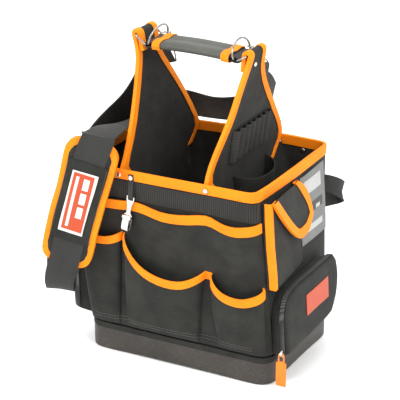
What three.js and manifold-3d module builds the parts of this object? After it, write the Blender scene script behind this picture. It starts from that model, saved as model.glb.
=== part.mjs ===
// Hard-bottom tool bag: an open fabric tool carrier on a moulded tray, with two gables that carry
// a padded grip, outside pockets, a zipped pocket on each side and a padded shoulder strap.
// Millimetres, +Z up, X along the front, the front faces -Y. The origin is the middle of the
// tray's underside, on the surface that the bag stands on.
import * as THREE from 'three';
import { mergeVertices } from 'three/addons/utils/BufferGeometryUtils.js';
import Module from 'manifold-3d';

const wasm = await Module();
wasm.setup();

// Fits
const gap = 0.3;
const looseGap = 0.6;

// Hard base
const trayLength = 306;
const trayDepth = 216;
const trayHeight = 35;
const trayWall = 3;
const trayFloor = 3;
const trayCorner = 24;
const footRelief = 2.5;
const footInset = 12;
const weltHeight = 9;
const weltProud = 0.8;

// Soft body
const bagHeight = 302;
const rimLength = 300;
const rimDepth = 249;
const rimLean = -14;
const rimCorner = 16;
const wall = 2.4;
const stepHeight = 3;

// Bound edges
const tapeWidth = 13;
const tapeThickness = 1.2;

// Gables and handle
const gableSpacing = 140;
const gableWall = 3;
const gableTapeWidth = 9.5;
const gableFlareLeft = 27.5;
const gableFlareRight = 27;
const foldHeightLeft = 478;
const foldHeightRight = 472.5;
const foldRadius = 5.2;
const foldTail = 24;
const tabWidth = 46;
const tabCentreLeft = -6;
const tabCentreRight = -16;
const stemShare = 0.72;
const ringWire = 3.6;
const ringInside = 52;
const linkReachLeft = 22;
const linkReachRight = 18;
const linkDropLeft = 38;
const linkDropRight = 29;
const dRingHeight = 26;
const dRingLeanLeft = 14;
const dRingLeanRight = -9;
const webbingWidth = 47;
const webbingThickness = 2.2;
const pinchedSpacing = 2.8;
const pinchLength = 9;
const handleRise = 3.5;
const gripStart = 10.5;
const gripLength = 128;
const gripWidth = 54;
const gripHeight = 13.2;
const gripEndWidth = 13;

// Shoulder strap and pad
const strapWidth = 46;
const hookWire = 2.6;
const padWidth = 74;
const padThickness = 8;
const padCorner = 20;
const padBow = 3;
const padTurn = 16;
const sleeveLength = 128;
const sleeveWidth = 60;
const sleeveThickness = 1.6;
const padLabelLength = 100;
const padLabelWidth = 38;
const labelThickness = 0.8;

// Front pockets
const ribTop = 288;
const ribHeight = 29;
const clothThickness = 1.6;
const upperMouth = 257;
const upperBulge = 7;
const cornerFacets = 3;
const pocketFoot = 48.5;
const pocketTape = 11;
const pocketDepthLeft = 12;
const pocketDepthMiddle = 22;
const pocketDepthRight = 19;

// Right side
const sidePocketTop = 286;
const sidePocketFoot = 156;
const sidePocketDepth = 12;
const ridgeTapeFront = 9;
const ridgeTapeSide = 6;
const flapThickness = 2;
const flapOffRear = 4.5;
const flapOffTip = 15;
const labelPanelWidth = 86;
const labelPanelHeight = 108;
const labelPanelTop = 283;

// Zip pockets
const zipPocketWidth = 172;
const zipPocketHeight = 94;
const zipPocketDepth = 29;
const zipPocketFoot = 47.5;
const zipPocketWall = 2;
const zipPocketCentre = -10;
const zipPocketSwell = 6;
const zipPocketRaise = 7;
const zipperWidth = 7;
const zipperThickness = 1.4;
const zipperOut = 0.68;
const sliderLength = 11;
const sliderThickness = 3.2;
const pullWidth = 16;
const pullLength = 37;
const bailLength = 14;
const bailWidth = 10;
const bailBar = 1.8;
const zipLabelWidth = 76;
const zipLabelHeight = 33;

// Loops, sleeves and holster
const loopWidth = 27;
const sleeveCount = 7;
const sleevesWidth = 120;
const bitSleeveHeight = 48;
const bitSleeveBulge = 7;
const holsterWidth = 108;
const holsterDepth = 32;
const holsterHeight = 120;

// Rivets and clip
const rivetDiameter = 8.5;
const rivetHeight = 2.4;
const clipWidth = 14;
const clipPlate = 1.4;
const clipDrop = 52;
const clipLean = 10;
const clipStandOff = 7.5;
const clipStrapWidth = 8;
const clipStrapThickness = 0.9;
const jawLength = 21;
const pinDiameter = 2;

const rad = THREE.MathUtils.degToRad;
const { lerp, clamp } = THREE.MathUtils;
const V = (x, y, z) => new THREE.Vector3(x, y, z);
const acrossX = V(1, 0, 0);
const acrossY = V(0, 1, 0);
const up = V(0, 0, 1);
const model = new THREE.Group();

const finishes = {
  cloth: { color: 0x3a3a38, roughness: 0.9, metalness: 0 },
  webbing: { color: 0x33332f, roughness: 0.85, metalness: 0 },
  tape: { color: 0xff9a10, roughness: 0.7, metalness: 0 },
  pull: { color: 0xf58220, roughness: 0.45, metalness: 0 },
  tray: { color: 0x4a4640, roughness: 0.55, metalness: 0 },
  grip: { color: 0x4c4c49, roughness: 0.6, metalness: 0 },
  nickel: { color: 0xc9c6bf, roughness: 0.25, metalness: 1 },
  darkMetal: { color: 0x6d6a66, roughness: 0.3, metalness: 1 },
  label: { color: 0xe4643c, roughness: 0.6, metalness: 0 },
  greyLabel: { color: 0x9a9d98, roughness: 0.5, metalness: 0 },
};

// Closed bodies from rows of points

// Adds the two triangles of a quad, by vertex numbers in order round it.
function quad(indices, a, b, c, d) {
  indices.push(a, b, c, a, c, d);
}

// Turns points and triangles into a closed geometry whose faces point outwards.
function closedGeometry(points, indices) {
  const geometry = new THREE.BufferGeometry();
  const flat = points.flatMap((p) => [p.x, p.y, p.z]);
  geometry.setAttribute('position', new THREE.Float32BufferAttribute(flat, 3));
  let volume = 0;
  for (let i = 0; i < indices.length; i += 3) {
    const [a, b, c] = [points[indices[i]], points[indices[i + 1]], points[indices[i + 2]]];
    volume += a.dot(V().crossVectors(b, c));
  }
  geometry.setIndex(volume < 0 ? indices.slice().reverse() : indices);
  return mergeVertices(geometry, 1e-4);
}

// A skin with thickness: every row has an outer and an inner line of points.
// wrap joins the lines' ends, closed joins the last row to the first.
function shell(rows, { wrap = false, closed = false } = {}) {
  const count = rows[0].out.length;
  const points = rows.flatMap((row) => [...row.out, ...row.in]);
  const indices = [];
  const outer = (row, i) => (row % rows.length) * 2 * count + (i % count);
  const inner = (row, i) => outer(row, i) + count;
  const rowSpans = closed ? rows.length : rows.length - 1;
  const columnSpans = wrap ? count : count - 1;
  for (let row = 0; row < rowSpans; row++) {
    for (let i = 0; i < columnSpans; i++) {
      quad(indices, outer(row, i), outer(row, i + 1), outer(row + 1, i + 1), outer(row + 1, i));
      quad(indices, inner(row, i), inner(row + 1, i), inner(row + 1, i + 1), inner(row, i + 1));
    }
    if (!wrap) {
      const last = count - 1;
      quad(indices, inner(row, 0), outer(row, 0), outer(row + 1, 0), inner(row + 1, 0));
      quad(indices, outer(row, last), inner(row, last), inner(row + 1, last), outer(row + 1, last));
    }
  }
  if (!closed) {
    const end = rows.length - 1;
    for (let i = 0; i < columnSpans; i++) {
      quad(indices, inner(0, i), inner(0, i + 1), outer(0, i + 1), outer(0, i));
      quad(indices, outer(end, i), outer(end, i + 1), inner(end, i + 1), inner(end, i));
    }
  }
  return closedGeometry(points, indices);
}

// A solid through convex rings of points, with a fan at each end unless it is closed.
function loft(rings, closed = false) {
  const count = rings[0].length;
  const points = rings.flat();
  const indices = [];
  const at = (ring, i) => (ring % rings.length) * count + (i % count);
  const spans = closed ? rings.length : rings.length - 1;
  for (let ring = 0; ring < spans; ring++) {
    for (let i = 0; i < count; i++) {
      quad(indices, at(ring, i), at(ring, i + 1), at(ring + 1, i + 1), at(ring + 1, i));
    }
  }
  if (!closed) {
    const centre = (ring) => ring.reduce((sum, p) => sum.add(p), V(0, 0, 0)).divideScalar(count);
    const first = points.length;
    points.push(centre(rings[0]), centre(rings[rings.length - 1]));
    for (let i = 0; i < count; i++) {
      indices.push(first, at(0, i + 1), at(0, i));
      indices.push(first + 1, at(rings.length - 1, i), at(rings.length - 1, i + 1));
    }
  }
  return closedGeometry(points, indices);
}

// Adds a named piece to the model.
function piece(name, geometry, finish) {
  const material = new THREE.MeshStandardMaterial({ ...finishes[finish], name: finish });
  const mesh = new THREE.Mesh(geometry, material);
  mesh.name = name;
  model.add(mesh);
  return mesh;
}

// A round wire bent along a closed line of points.
function closedWire(points, diameter, sides = 6) {
  const count = points.length;
  const rings = points.map((point, i) => {
    const ahead = V().subVectors(points[(i + 1) % count], points[(i + count - 1) % count]).normalize();
    const plane = wirePlane(points);
    const side = V().crossVectors(plane, ahead).normalize();
    return Array.from({ length: sides }, (_, k) => {
      const turn = (2 * Math.PI * k) / sides;
      return point.clone()
        .addScaledVector(side, (Math.cos(turn) * diameter) / 2)
        .addScaledVector(plane, (Math.sin(turn) * diameter) / 2);
    });
  });
  return loft(rings, true);
}

// The normal of the plane in which a closed wire roughly lies.
function wirePlane(points) {
  const normal = V(0, 0, 0);
  points.forEach((point, i) => {
    normal.add(V().crossVectors(point, points[(i + 1) % points.length]));
  });
  return normal.normalize();
}

// A flat ribbon through stations, each with a centre and the direction of its width.
function ribbon(stations, width, thickness, closed = false) {
  const count = stations.length;
  const rows = stations.map((station, i) => {
    const before = stations[closed ? (i + count - 1) % count : Math.max(i - 1, 0)].centre;
    const after = stations[closed ? (i + 1) % count : Math.min(i + 1, count - 1)].centre;
    const ahead = V().subVectors(after, before).normalize();
    const face = V().crossVectors(ahead, station.across).normalize();
    const across = V().crossVectors(face, ahead).normalize();
    const line = (side) => [-0.5, 0.5].map((share) => station.centre.clone()
      .addScaledVector(across, share * width)
      .addScaledVector(face, (side * thickness) / 2));
    return { out: line(1), in: line(-1) };
  });
  return shell(rows, { closed });
}

// Smooth stations through a short list of them.
function smoothStations(stations, steps) {
  const curve = new THREE.CatmullRomCurve3(stations.map((s) => s.centre), false, 'centripetal');
  const ways = new THREE.CatmullRomCurve3(stations.map((s) => s.across), false, 'centripetal');
  return Array.from({ length: steps + 1 }, (_, i) => ({
    centre: curve.getPoint(i / steps),
    across: ways.getPoint(i / steps).normalize(),
  }));
}

// The body's walls

const wallFoot = trayHeight + weltHeight + stepHeight;
const wallShare = (z) => Math.max(0, (z - wallFoot) / (bagHeight - wallFoot));
const halfLength = (z) => lerp(trayLength / 2, rimLength / 2, wallShare(z));
const halfDepth = (z) => lerp(trayDepth / 2, rimDepth / 2, wallShare(z));
const wallSlope = (rimDepth - trayDepth) / 2 / (bagHeight - wallFoot);
const middleX = (z) => rimLean * wallShare(z);
const cornerAt = (z) => lerp(trayCorner, rimCorner, wallShare(z));

// Points on the outer walls, by a share of the half length or depth and a distance off the wall.
const onBack = (share, z, off) => V(middleX(z) + share * halfLength(z), halfDepth(z) + off, z);
const onSide = (side, y, z, off) => V(middleX(z) + side * (halfLength(z) + off), y, z);

// A point off the front wall at a distance from its middle, carried on round the corners.
function alongFront(distance, z, off) {
  const radius = cornerAt(z);
  const straight = halfLength(z) - radius;
  const side = Math.sign(distance);
  const turn = Math.max(0, Math.abs(distance) - straight) / radius;
  if (turn === 0) return V(middleX(z) + distance, -halfDepth(z) - off, z);
  const x = middleX(z) + side * (straight + (radius + off) * Math.sin(turn));
  return V(x, -halfDepth(z) + radius - (radius + off) * Math.cos(turn), z);
}

// The straight half of the front, and half its length to where its pieces end on the corners.
const cornerSteps = 4;
const straightFront = (z) => halfLength(z) - cornerAt(z);
const facetLength = (z) => (cornerAt(z) * Math.PI) / 2 / cornerSteps;
const frontReach = (z) => straightFront(z) + cornerFacets * facetLength(z);
const onFront = (share, z, off) => alongFront(share * halfLength(z), z, off);

const plainSides = [];
const footedSides = [0.12, 0.2, 0.8, 0.88];

// The outline of the bag at a height, grown outwards by a distance, counter-clockwise.
function outline(z, grow, sideShares = plainSides, heightAt = () => z) {
  const radius = Math.max(cornerAt(z) + grow, 1);
  const straightX = halfLength(z) + grow - radius;
  const straightY = halfDepth(z) + grow - radius;
  const corners = [[1, -1, -90], [1, 1, 0], [-1, 1, 90], [-1, -1, 180]];
  const cornerPoint = ([sx, sy, start], share) => {
    const turn = rad(start + 90 * share);
    const x = middleX(z) + sx * straightX + radius * Math.cos(turn);
    return V(x, sy * straightY + radius * Math.sin(turn), heightAt(0));
  };
  return corners.flatMap((corner, i) => {
    const steps = Array.from({ length: cornerSteps + 1 }, (_, k) => k / cornerSteps);
    const from = cornerPoint(corner, 1);
    const to = cornerPoint(corners[(i + 1) % 4], 0);
    const along = sideShares.map((share) => V().lerpVectors(from, to, share).setZ(heightAt(share)));
    return [...steps.map((share) => cornerPoint(corner, share)), ...along];
  });
}

// Hard base
function buildBase() {
  const relief = (share) => (share > 0.15 && share < 0.85 ? footRelief : footRelief / 4);
  const ring = (z, grow, heightAt) => outline(z, grow, footedSides, heightAt);
  piece('base_tray', loft([
    ring(trayFloor, -trayWall, () => trayFloor),
    ring(trayHeight, -trayWall, () => trayHeight),
    ring(trayHeight, 0, () => trayHeight),
    ring(trayFloor, 0, relief),
    ring(0, -footInset, () => 0),
  ]), 'tray');

  const inside = -trayWall;
  piece('base_welt', shell([
    { out: outline(trayHeight + gap, weltProud), in: outline(trayHeight + gap, inside) },
    { out: outline(trayHeight + weltHeight, weltProud), in: outline(trayHeight + weltHeight, inside) },
  ], { wrap: true }), 'cloth');
}

// Fabric walls, open at the top and seated inside the tray
function buildBody() {
  const seated = -trayWall - gap;
  const level = (z, grow) => ({ out: outline(z, grow), in: outline(z, grow - wall) });
  piece('body_shell', shell([
    level(trayFloor + gap, seated),
    level(trayHeight + weltHeight + gap, seated),
    level(wallFoot, 0),
    level(bagHeight, 0),
  ], { wrap: true }), 'cloth');

  const low = bagHeight - tapeWidth;
  const band = (z, grow) => outline(z, grow).map((p) => p.setZ(z));
  const lid = (top, grow) => outline(bagHeight, grow).map((p) => p.setZ(top));
  const near = gap;
  const far = gap + tapeThickness;
  piece('rim_binding', shell([
    { out: band(low, far), in: band(low, near) },
    { out: lid(bagHeight + far, far), in: lid(bagHeight + near, near) },
    { out: lid(bagHeight + far, -wall - far), in: lid(bagHeight + near, -wall - near) },
    { out: band(low, -wall - far), in: band(low, -wall - near) },
  ], { wrap: true }), 'tape');
}

// Gables

// Rows up a gable above the rim. rise is the share of the height from the rim to the fold,
// flare the share of the outward lean, front and rear the edges as shares of half the rim's depth.
const gableRows = {
  left: [
    { rise: 0.17, flare: 0.1, front: -0.76, rear: 0.843 },
    { rise: 0.48, flare: 0.34, front: -0.49, rear: 0.518 },
    { rise: 0.74, flare: 0.55, front: -0.31, rear: 0.256 },
    { rise: 0.88, flare: 0.74, front: -0.235, rear: 0.16 },
  ],
  right: [
    { rise: 0.14, flare: 0.1, front: -0.91, rear: 0.93 },
    { rise: 0.34, flare: 0.25, front: -0.7, rear: 0.69 },
    { rise: 0.53, flare: 0.44, front: -0.55, rear: 0.45 },
    { rise: 0.7, flare: 0.6, front: -0.46, rear: 0.222 },
    { rise: 0.87, flare: 0.8, front: -0.353, rear: 0.07 },
  ],
};

const gables = {
  left: {
    side: -1, flare: gableFlareLeft, fold: foldHeightLeft, tab: tabCentreLeft,
    drop: linkDropLeft, linked: linkReachLeft,
  },
  right: {
    side: 1, flare: gableFlareRight, fold: foldHeightRight, tab: tabCentreRight,
    drop: linkDropRight, linked: linkReachRight,
  },
};

// Where the middle of a gable's fold lies, which is where its link ring's bar hangs.
function foldCentre({ side, flare, fold, tab }) {
  const rimX = rimLean + (side * gableSpacing) / 2;
  return V(rimX + side * (flare - foldRadius), tab, fold);
}

// Stations up a gable and round its fold, each with a height, an x, its two edges and its
// outward direction in the XZ plane.
function gableStations(name) {
  const gable = gables[name];
  const { side, flare, fold, tab } = gable;
  const half = gableSpacing / 2;
  const rimX = rimLean + side * half;
  const edgeAtRim = halfDepth(bagHeight) - wall - gap - tapeThickness - looseGap - tapeThickness - gap;
  const stem = stemShare * halfDepth(bagHeight);
  const narrow = bagHeight - 2 * tapeWidth;
  const stemX = (z) => lerp(side * half, rimX, z / bagHeight);
  const stations = [
    { x: stemX(trayFloor), z: trayFloor + gap, front: -stem, rear: stem },
    { x: stemX(narrow), z: narrow, front: -stem, rear: stem },
    { x: rimX, z: bagHeight, front: -edgeAtRim, rear: edgeAtRim },
  ];
  gableRows[name].forEach((row) => stations.push({
    x: rimX + side * row.flare * flare,
    z: lerp(bagHeight, fold, row.rise),
    front: (row.front * rimDepth) / 2,
    rear: (row.rear * rimDepth) / 2,
  }));
  const tabEdges = { front: tab - tabWidth / 2, rear: tab + tabWidth / 2 };
  const centre = foldCentre(gable);
  const foldSteps = 6;
  for (let i = 0; i <= foldSteps; i++) {
    const turn = (Math.PI * i) / foldSteps;
    stations.push({
      x: centre.x + side * foldRadius * Math.cos(turn),
      z: centre.z + foldRadius * Math.sin(turn),
      ...tabEdges,
    });
  }
  const tailZ = fold - foldTail;
  const next = stations.findIndex((s) => s.z > tailZ);
  const [low, high] = [stations[next - 1], stations[next]];
  const mainX = lerp(low.x, high.x, (tailZ - low.z) / (high.z - low.z));
  const apart = gableWall + 2 * tapeThickness + 4 * gap;
  stations.push({ x: mainX - side * apart, z: tailZ, ...tabEdges });
  stations.forEach((station, i) => {
    const before = stations[Math.max(i - 1, 0)];
    const after = stations[Math.min(i + 1, stations.length - 1)];
    const ahead = V(after.x - before.x, 0, after.z - before.z).normalize();
    station.face = V().crossVectors(acrossY, ahead).multiplyScalar(side);
    station.at = (y, off) => V(station.x, y, station.z).addScaledVector(station.face, off);
  });
  return stations;
}

// A folded tape over one edge of a gable, from just below the rim to the end of the fold.
function gableBinding(stations, edge, outward) {
  const inner = gableWall / 2 + gap;
  const outer = inner + tapeThickness;
  const rows = stations.slice(1).map((station, i, list) => {
    const before = list[Math.max(i - 1, 0)];
    const after = list[Math.min(i + 1, list.length - 1)];
    const run = Math.hypot(after.x - before.x, after.z - before.z);
    const slant = Math.hypot(1, (after[edge] - before[edge]) / run);
    const y = station[edge];
    const leg = y - outward * gableTapeWidth * Math.min(slant, 1.3);
    const over = (distance) => y + outward * distance;
    return {
      out: [station.at(leg, outer), station.at(over(gap + tapeThickness), outer),
        station.at(over(gap + tapeThickness), -outer), station.at(leg, -outer)],
      in: [station.at(leg, inner), station.at(over(gap), inner),
        station.at(over(gap), -inner), station.at(leg, -inner)],
    };
  });
  return shell(rows);
}

function buildGables() {
  Object.keys(gables).forEach((name) => {
    const stations = gableStations(name);
    const rows = stations.map((s) => ({
      out: [s.at(s.front, gableWall / 2), s.at(s.rear, gableWall / 2)],
      in: [s.at(s.front, -gableWall / 2), s.at(s.rear, -gableWall / 2)],
    }));
    piece(`gable_${name}`, shell(rows), 'cloth');
    piece(`gable_${name}_front_binding`, gableBinding(stations, 'front', -1), 'tape');
    piece(`gable_${name}_rear_binding`, gableBinding(stations, 'rear', 1), 'tape');
  });
}

// A point on a gable's outer face, at a height between the rim and the fold or below the rim.
function onGable(name, y, z, off) {
  const stations = gableStations(name);
  const next = Math.max(1, stations.findIndex((s) => s.z >= z));
  const [a, b] = [stations[next - 1], stations[next]];
  const share = (z - a.z) / (b.z - a.z);
  const ahead = V(b.x - a.x, 0, b.z - a.z).normalize();
  const face = V().crossVectors(acrossY, ahead).multiplyScalar(gables[name].side);
  return V(lerp(a.x, b.x, share), y, z).addScaledVector(face, gableWall / 2 + off);
}

// Handle

const layerSpacing = ringWire + 2 * looseGap + webbingThickness;
const bindingInside = foldRadius - gableWall / 2 - gap - tapeThickness;

// The link ring's bar in the gable's fold and its bar in the handle's webbing.
function linkBars(name) {
  const gable = gables[name];
  const hung = bindingInside - ringWire / 2 - gap;
  const inFold = foldCentre(gable).add(V(0, 0, hung));
  const drop = rad(gable.drop);
  const down = V(-gable.side * Math.cos(drop), 0, -Math.sin(drop));
  const inWebbing = inFold.clone().addScaledVector(down, gable.linked);
  return { inFold, inWebbing };
}

const handleEnds = [linkBars('left').inWebbing, linkBars('right').inWebbing];

// The middle of the handle's webbing, by the distance from the left link ring's bar.
function handleAt(distance) {
  const [from, to] = handleEnds;
  const share = distance / (to.x - from.x);
  const middle = V().lerpVectors(from, to, share);
  return middle.add(V(0, 0, handleRise * Math.sin(Math.PI * clamp(share, 0, 1))));
}

const handleSpan = handleEnds[1].x - handleEnds[0].x;

// A rectangular ring with round corners between two parallel bars.
function linkRing(name) {
  const { inFold, inWebbing } = linkBars(name);
  const reach = V().subVectors(inWebbing, inFold);
  const half = ringInside / 2 + ringWire / 2;
  const round = 5;
  const length = reach.length();
  const way = reach.clone().normalize();
  const corners = [[-half, 0], [half, 0], [half, length], [-half, length]];
  const points = corners.flatMap(([y, along], i) => {
    const before = corners[(i + 3) % 4];
    const after = corners[(i + 1) % 4];
    const from = new THREE.Vector2(before[0] - y, before[1] - along).setLength(round);
    const to = new THREE.Vector2(after[0] - y, after[1] - along).setLength(round);
    const at = (p) => inFold.clone().add(V(0, p.x, 0)).addScaledVector(way, p.y);
    const corner = new THREE.Vector2(y, along);
    const start = corner.clone().add(from);
    const end = corner.clone().add(to);
    const bend = corner.clone().lerp(start.clone().lerp(end, 0.5), 0.42);
    return [at(start), at(bend), at(end)];
  });
  return closedWire(points, ringWire);
}

// Half the spacing of the webbing's two layers, which lie closer together inside the grip.
function layerHalf(distance) {
  const fromEnd = Math.min(distance, handleSpan - distance) - ringWire * 1.5 - looseGap;
  return lerp(layerSpacing, pinchedSpacing, clamp(fromEnd / pinchLength, 0, 1)) / 2;
}

const dRingPlaces = { left: ringWire + looseGap, right: handleSpan - ringWire - looseGap };
const dRingLeans = { left: dRingLeanLeft, right: dRingLeanRight };

// The point on a D-ring's wire, by its place across and its height above the bar.
function onDRing(name, y, height) {
  const base = handleAt(dRingPlaces[name]);
  const lean = rad(dRingLeans[name]);
  return base.add(V(height * Math.sin(lean), y, height * Math.cos(lean)));
}

function dRing(name) {
  const half = ringInside / 2 + ringWire / 2;
  const archSteps = 10;
  const points = [onDRing(name, -half + 4, 0), onDRing(name, half - 4, 0), onDRing(name, half - 0.8, 1.6)];
  for (let i = 0; i <= archSteps; i++) {
    const turn = (Math.PI * i) / archSteps;
    const height = dRingHeight * (0.28 + 0.72 * Math.sin(turn));
    points.push(onDRing(name, half * Math.cos(turn), height));
  }
  points.push(onDRing(name, -half + 0.8, 1.6));
  return closedWire(points, ringWire);
}

// Half of the grip's section: the padded outside and the slot for the webbing, as shares of
// half the grip's width and height and of half the slot's width and height.
const gripSection = [
  { y: 0, z: 0.66, slotY: 0, slotZ: 1 },
  { y: 0.3, z: 0.95, slotY: 0.4, slotZ: 1 },
  { y: 0.66, z: 1, slotY: 0.8, slotZ: 1 },
  { y: 0.93, z: 0.66, slotY: 1, slotZ: 1 },
  { y: 1, z: 0, slotY: 1, slotZ: 0 },
  { y: 0.93, z: -0.68, slotY: 1, slotZ: -1 },
  { y: 0.6, z: -0.97, slotY: 0.6, slotZ: -1 },
  { y: 0, z: -0.88, slotY: 0, slotZ: -1 },
];

// A ring of the grip's section round the handle at a distance from its left end.
function gripRing(distance, grow, hollow) {
  const slotHalfWidth = webbingWidth / 2 + looseGap;
  const slotHalfHeight = layerHalf(distance) + webbingThickness / 2 + gap;
  const mirrored = gripSection.slice(1, -1).reverse()
    .map((row) => ({ ...row, y: -row.y, slotY: -row.slotY }));
  const centre = handleAt(distance);
  return [...gripSection, ...mirrored].map((row) => {
    const y = hollow ? row.slotY * slotHalfWidth : row.y * (gripWidth / 2 + grow);
    const z = hollow ? row.slotZ * slotHalfHeight : row.z * (gripHeight / 2 + grow);
    return centre.clone().add(V(0, y, z));
  });
}

function buildHandle() {
  Object.keys(gables).forEach((name) => {
    piece(`link_ring_${name}`, linkRing(name), 'darkMetal');
    piece(`d_ring_${name}`, dRing(name), 'darkMetal');
  });

  const half = layerSpacing / 2;
  const pinch = ringWire * 1.5 + looseGap;
  const distances = [0, pinch, pinch + pinchLength, handleSpan / 2]
    .flatMap((distance, i) => (i === 3 ? [distance] : [distance, handleSpan - distance]))
    .sort((a, b) => a - b);
  const layer = (sign, distance) => handleAt(distance).add(V(0, 0, sign * layerHalf(distance)));
  const bend = (end, side, angle) => end.clone()
    .add(V(side * half * Math.cos(rad(angle)), 0, half * Math.sin(rad(angle))));
  const loop = [
    ...distances.map((distance) => layer(1, distance)),
    bend(handleEnds[1], 1, 45), bend(handleEnds[1], 1, 0), bend(handleEnds[1], 1, -45),
    ...distances.slice().reverse().map((distance) => layer(-1, distance)),
    bend(handleEnds[0], -1, -45), bend(handleEnds[0], -1, 0), bend(handleEnds[0], -1, 45),
  ];
  const stations = loop.map((centre) => ({ centre, across: acrossY }));
  piece('handle_webbing', ribbon(stations, webbingWidth, webbingThickness, true), 'webbing');

  const gripEnd = gripStart + gripLength;
  const stops = [gripStart, gripStart + gripEndWidth, handleSpan / 2, gripEnd - gripEndWidth, gripEnd];
  const tube = (places, grow) => shell(
    places.map((place) => ({ out: gripRing(place, grow, false), in: gripRing(place, grow, true) })),
    { wrap: true },
  );
  piece('handle_grip', tube(stops, 0), 'grip');
  const sock = (places) => shell(
    places.map((place) => ({
      out: gripRing(place, gap + tapeThickness, false),
      in: gripRing(place, gap, false),
    })),
    { wrap: true },
  );
  piece('grip_end_left', sock([gripStart, gripStart + gripEndWidth]), 'tape');
  piece('grip_end_right', sock([gripEnd - gripEndWidth, gripEnd]), 'tape');
}

// Shoulder strap and pad

const reach = (shareX, shareY, low, high) => V(
  (shareX * rimLength) / 2,
  (shareY * rimDepth) / 2,
  low * bagHeight + high * (foldHeightLeft - bagHeight),
);

const padTop = reach(-0.733, -1.18, 1, 0.258);
const padFoot = reach(-1.067, -1.273, 0.513, 0);
const padLength = padTop.distanceTo(padFoot);
const padWay = V().subVectors(padFoot, padTop).normalize();
const padTurned = V(Math.cos(rad(padTurn)), Math.sin(rad(padTurn)), 0);
const padAcross = padTurned.addScaledVector(padWay, -padWay.dot(padTurned)).normalize();
const padFace = V().crossVectors(padWay, padAcross).normalize();

// A point of the pad, by its distance down it, across it and off its middle surface.
function onPad(down, across, off) {
  const share = clamp(down / padLength, 0, 1);
  const bow = padBow * 4 * share * (1 - share);
  return padTop.clone()
    .addScaledVector(padWay, down)
    .addScaledVector(padAcross, across)
    .addScaledVector(padFace, off + bow);
}

// Half the pad's width at a distance down it, with round corners.
function padHalfWidth(down, grow = 0) {
  const fromEnd = Math.min(down, padLength - down) + grow;
  const radius = padCorner + grow;
  const inset = Math.max(0, radius - fromEnd);
  const missing = radius - Math.sqrt(Math.max(0, radius ** 2 - inset ** 2));
  return padWidth / 2 + grow - missing;
}

function buildPad() {
  const ends = [0, 0.08, 0.3, 0.65, 1].map((share) => share * padCorner);
  const downs = [...ends, padLength * 0.3, padLength * 0.5, padLength * 0.7,
    ...ends.slice().reverse().map((d) => padLength - d)];
  const half = padThickness / 2;
  const rings = downs.map((down) => {
    const w = padHalfWidth(down);
    return [[-w, -half * 0.5], [-w, half * 0.5], [-w * 0.9, half], [w * 0.9, half],
      [w, half * 0.5], [w, -half * 0.5], [w * 0.9, -half], [-w * 0.9, -half]]
      .map(([across, off]) => onPad(down, across, off));
  });
  piece('shoulder_pad', loft(rings), 'cloth');

  const edge = [
    ...downs.map((down) => ({ down, across: -padHalfWidth(down) })),
    ...downs.slice().reverse().map((down) => ({ down, across: padHalfWidth(down) })),
  ];
  const inner = half + gap;
  const outer = inner + tapeThickness;
  const leg = tapeWidth * 0.7;
  const rows = edge.map(({ down, across }) => {
    const shrink = (distance) => ({
      down: clamp(down, distance, padLength - distance),
      across: Math.sign(across) * Math.max(0, Math.abs(across) - distance),
    });
    const grown = (distance) => {
      const middle = padLength / 2;
      const stretch = (middle + distance) / middle;
      return {
        down: middle + (down - middle) * stretch,
        across: across + Math.sign(across) * distance,
      };
    };
    const point = (place, off) => {
      const at = onPad(clamp(place.down, 0, padLength), place.across, off);
      return at.addScaledVector(padWay, place.down - clamp(place.down, 0, padLength));
    };
    return {
      out: [point(shrink(leg), outer), point(grown(gap + tapeThickness), outer),
        point(grown(gap + tapeThickness), -outer), point(shrink(leg), -outer)],
      in: [point(shrink(leg), inner), point(grown(gap), inner),
        point(grown(gap), -inner), point(shrink(leg), -inner)],
    };
  });
  piece('pad_binding', shell(rows, { closed: true }), 'tape');

  const strapFace = outer + gap + webbingThickness;
  const sleeveOff = strapFace + gap + sleeveThickness / 2;
  const sleeveSections = [
    { across: -0.5, off: outer + gap + sleeveThickness / 2 },
    { across: -0.42, off: sleeveOff },
    { across: 0.42, off: sleeveOff },
    { across: 0.5, off: outer + gap + sleeveThickness / 2 },
  ];
  const middle = padLength * 0.47;
  const sleeveRows = [-0.5, -0.25, 0, 0.25, 0.5].map((share) => {
    const down = middle + share * sleeveLength;
    const line = (side) => sleeveSections
      .map((s) => onPad(down, s.across * sleeveWidth, s.off + (side * sleeveThickness) / 2));
    return { out: line(1), in: line(-1) };
  });
  piece('pad_sleeve', shell(sleeveRows), 'cloth');

  const labelOff = sleeveOff + sleeveThickness / 2 + gap + labelThickness / 2;
  const labelRows = [-0.5, -0.25, 0, 0.25, 0.5].map((share) => {
    const down = middle + share * padLabelLength;
    const line = (side) => [-0.5, 0.5]
      .map((s) => onPad(down, s * padLabelWidth, labelOff + (side * labelThickness) / 2));
    return { out: line(1), in: line(-1) };
  });
  piece('pad_label', shell(labelRows), 'label');
}

// Where each snap hook holds the strap: its bar's middle, the way of the bar, and the way in
// which the strap leaves it.
const strapBars = {
  right: { offset: V(-3, 42, -41), along: V(0, 0.98, -0.2), leaves: V(0, -0.2, -0.98) },
  left: { offset: V(-20, 33, -36), along: V(0.33, 0.2, -0.92), leaves: V(-0.93, 0.05, -0.32) },
};

// The upright side of the D-ring that a snap hook holds.
function hookedAt(name) {
  return onDRing(name, ringInside / 2 + ringWire / 2, dRingHeight * 0.28);
}

function strapBar(name) {
  const { offset, along, leaves } = strapBars[name];
  return {
    centre: hookedAt(name).add(offset),
    along: along.clone().normalize(),
    leaves: leaves.clone().normalize(),
  };
}

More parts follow.
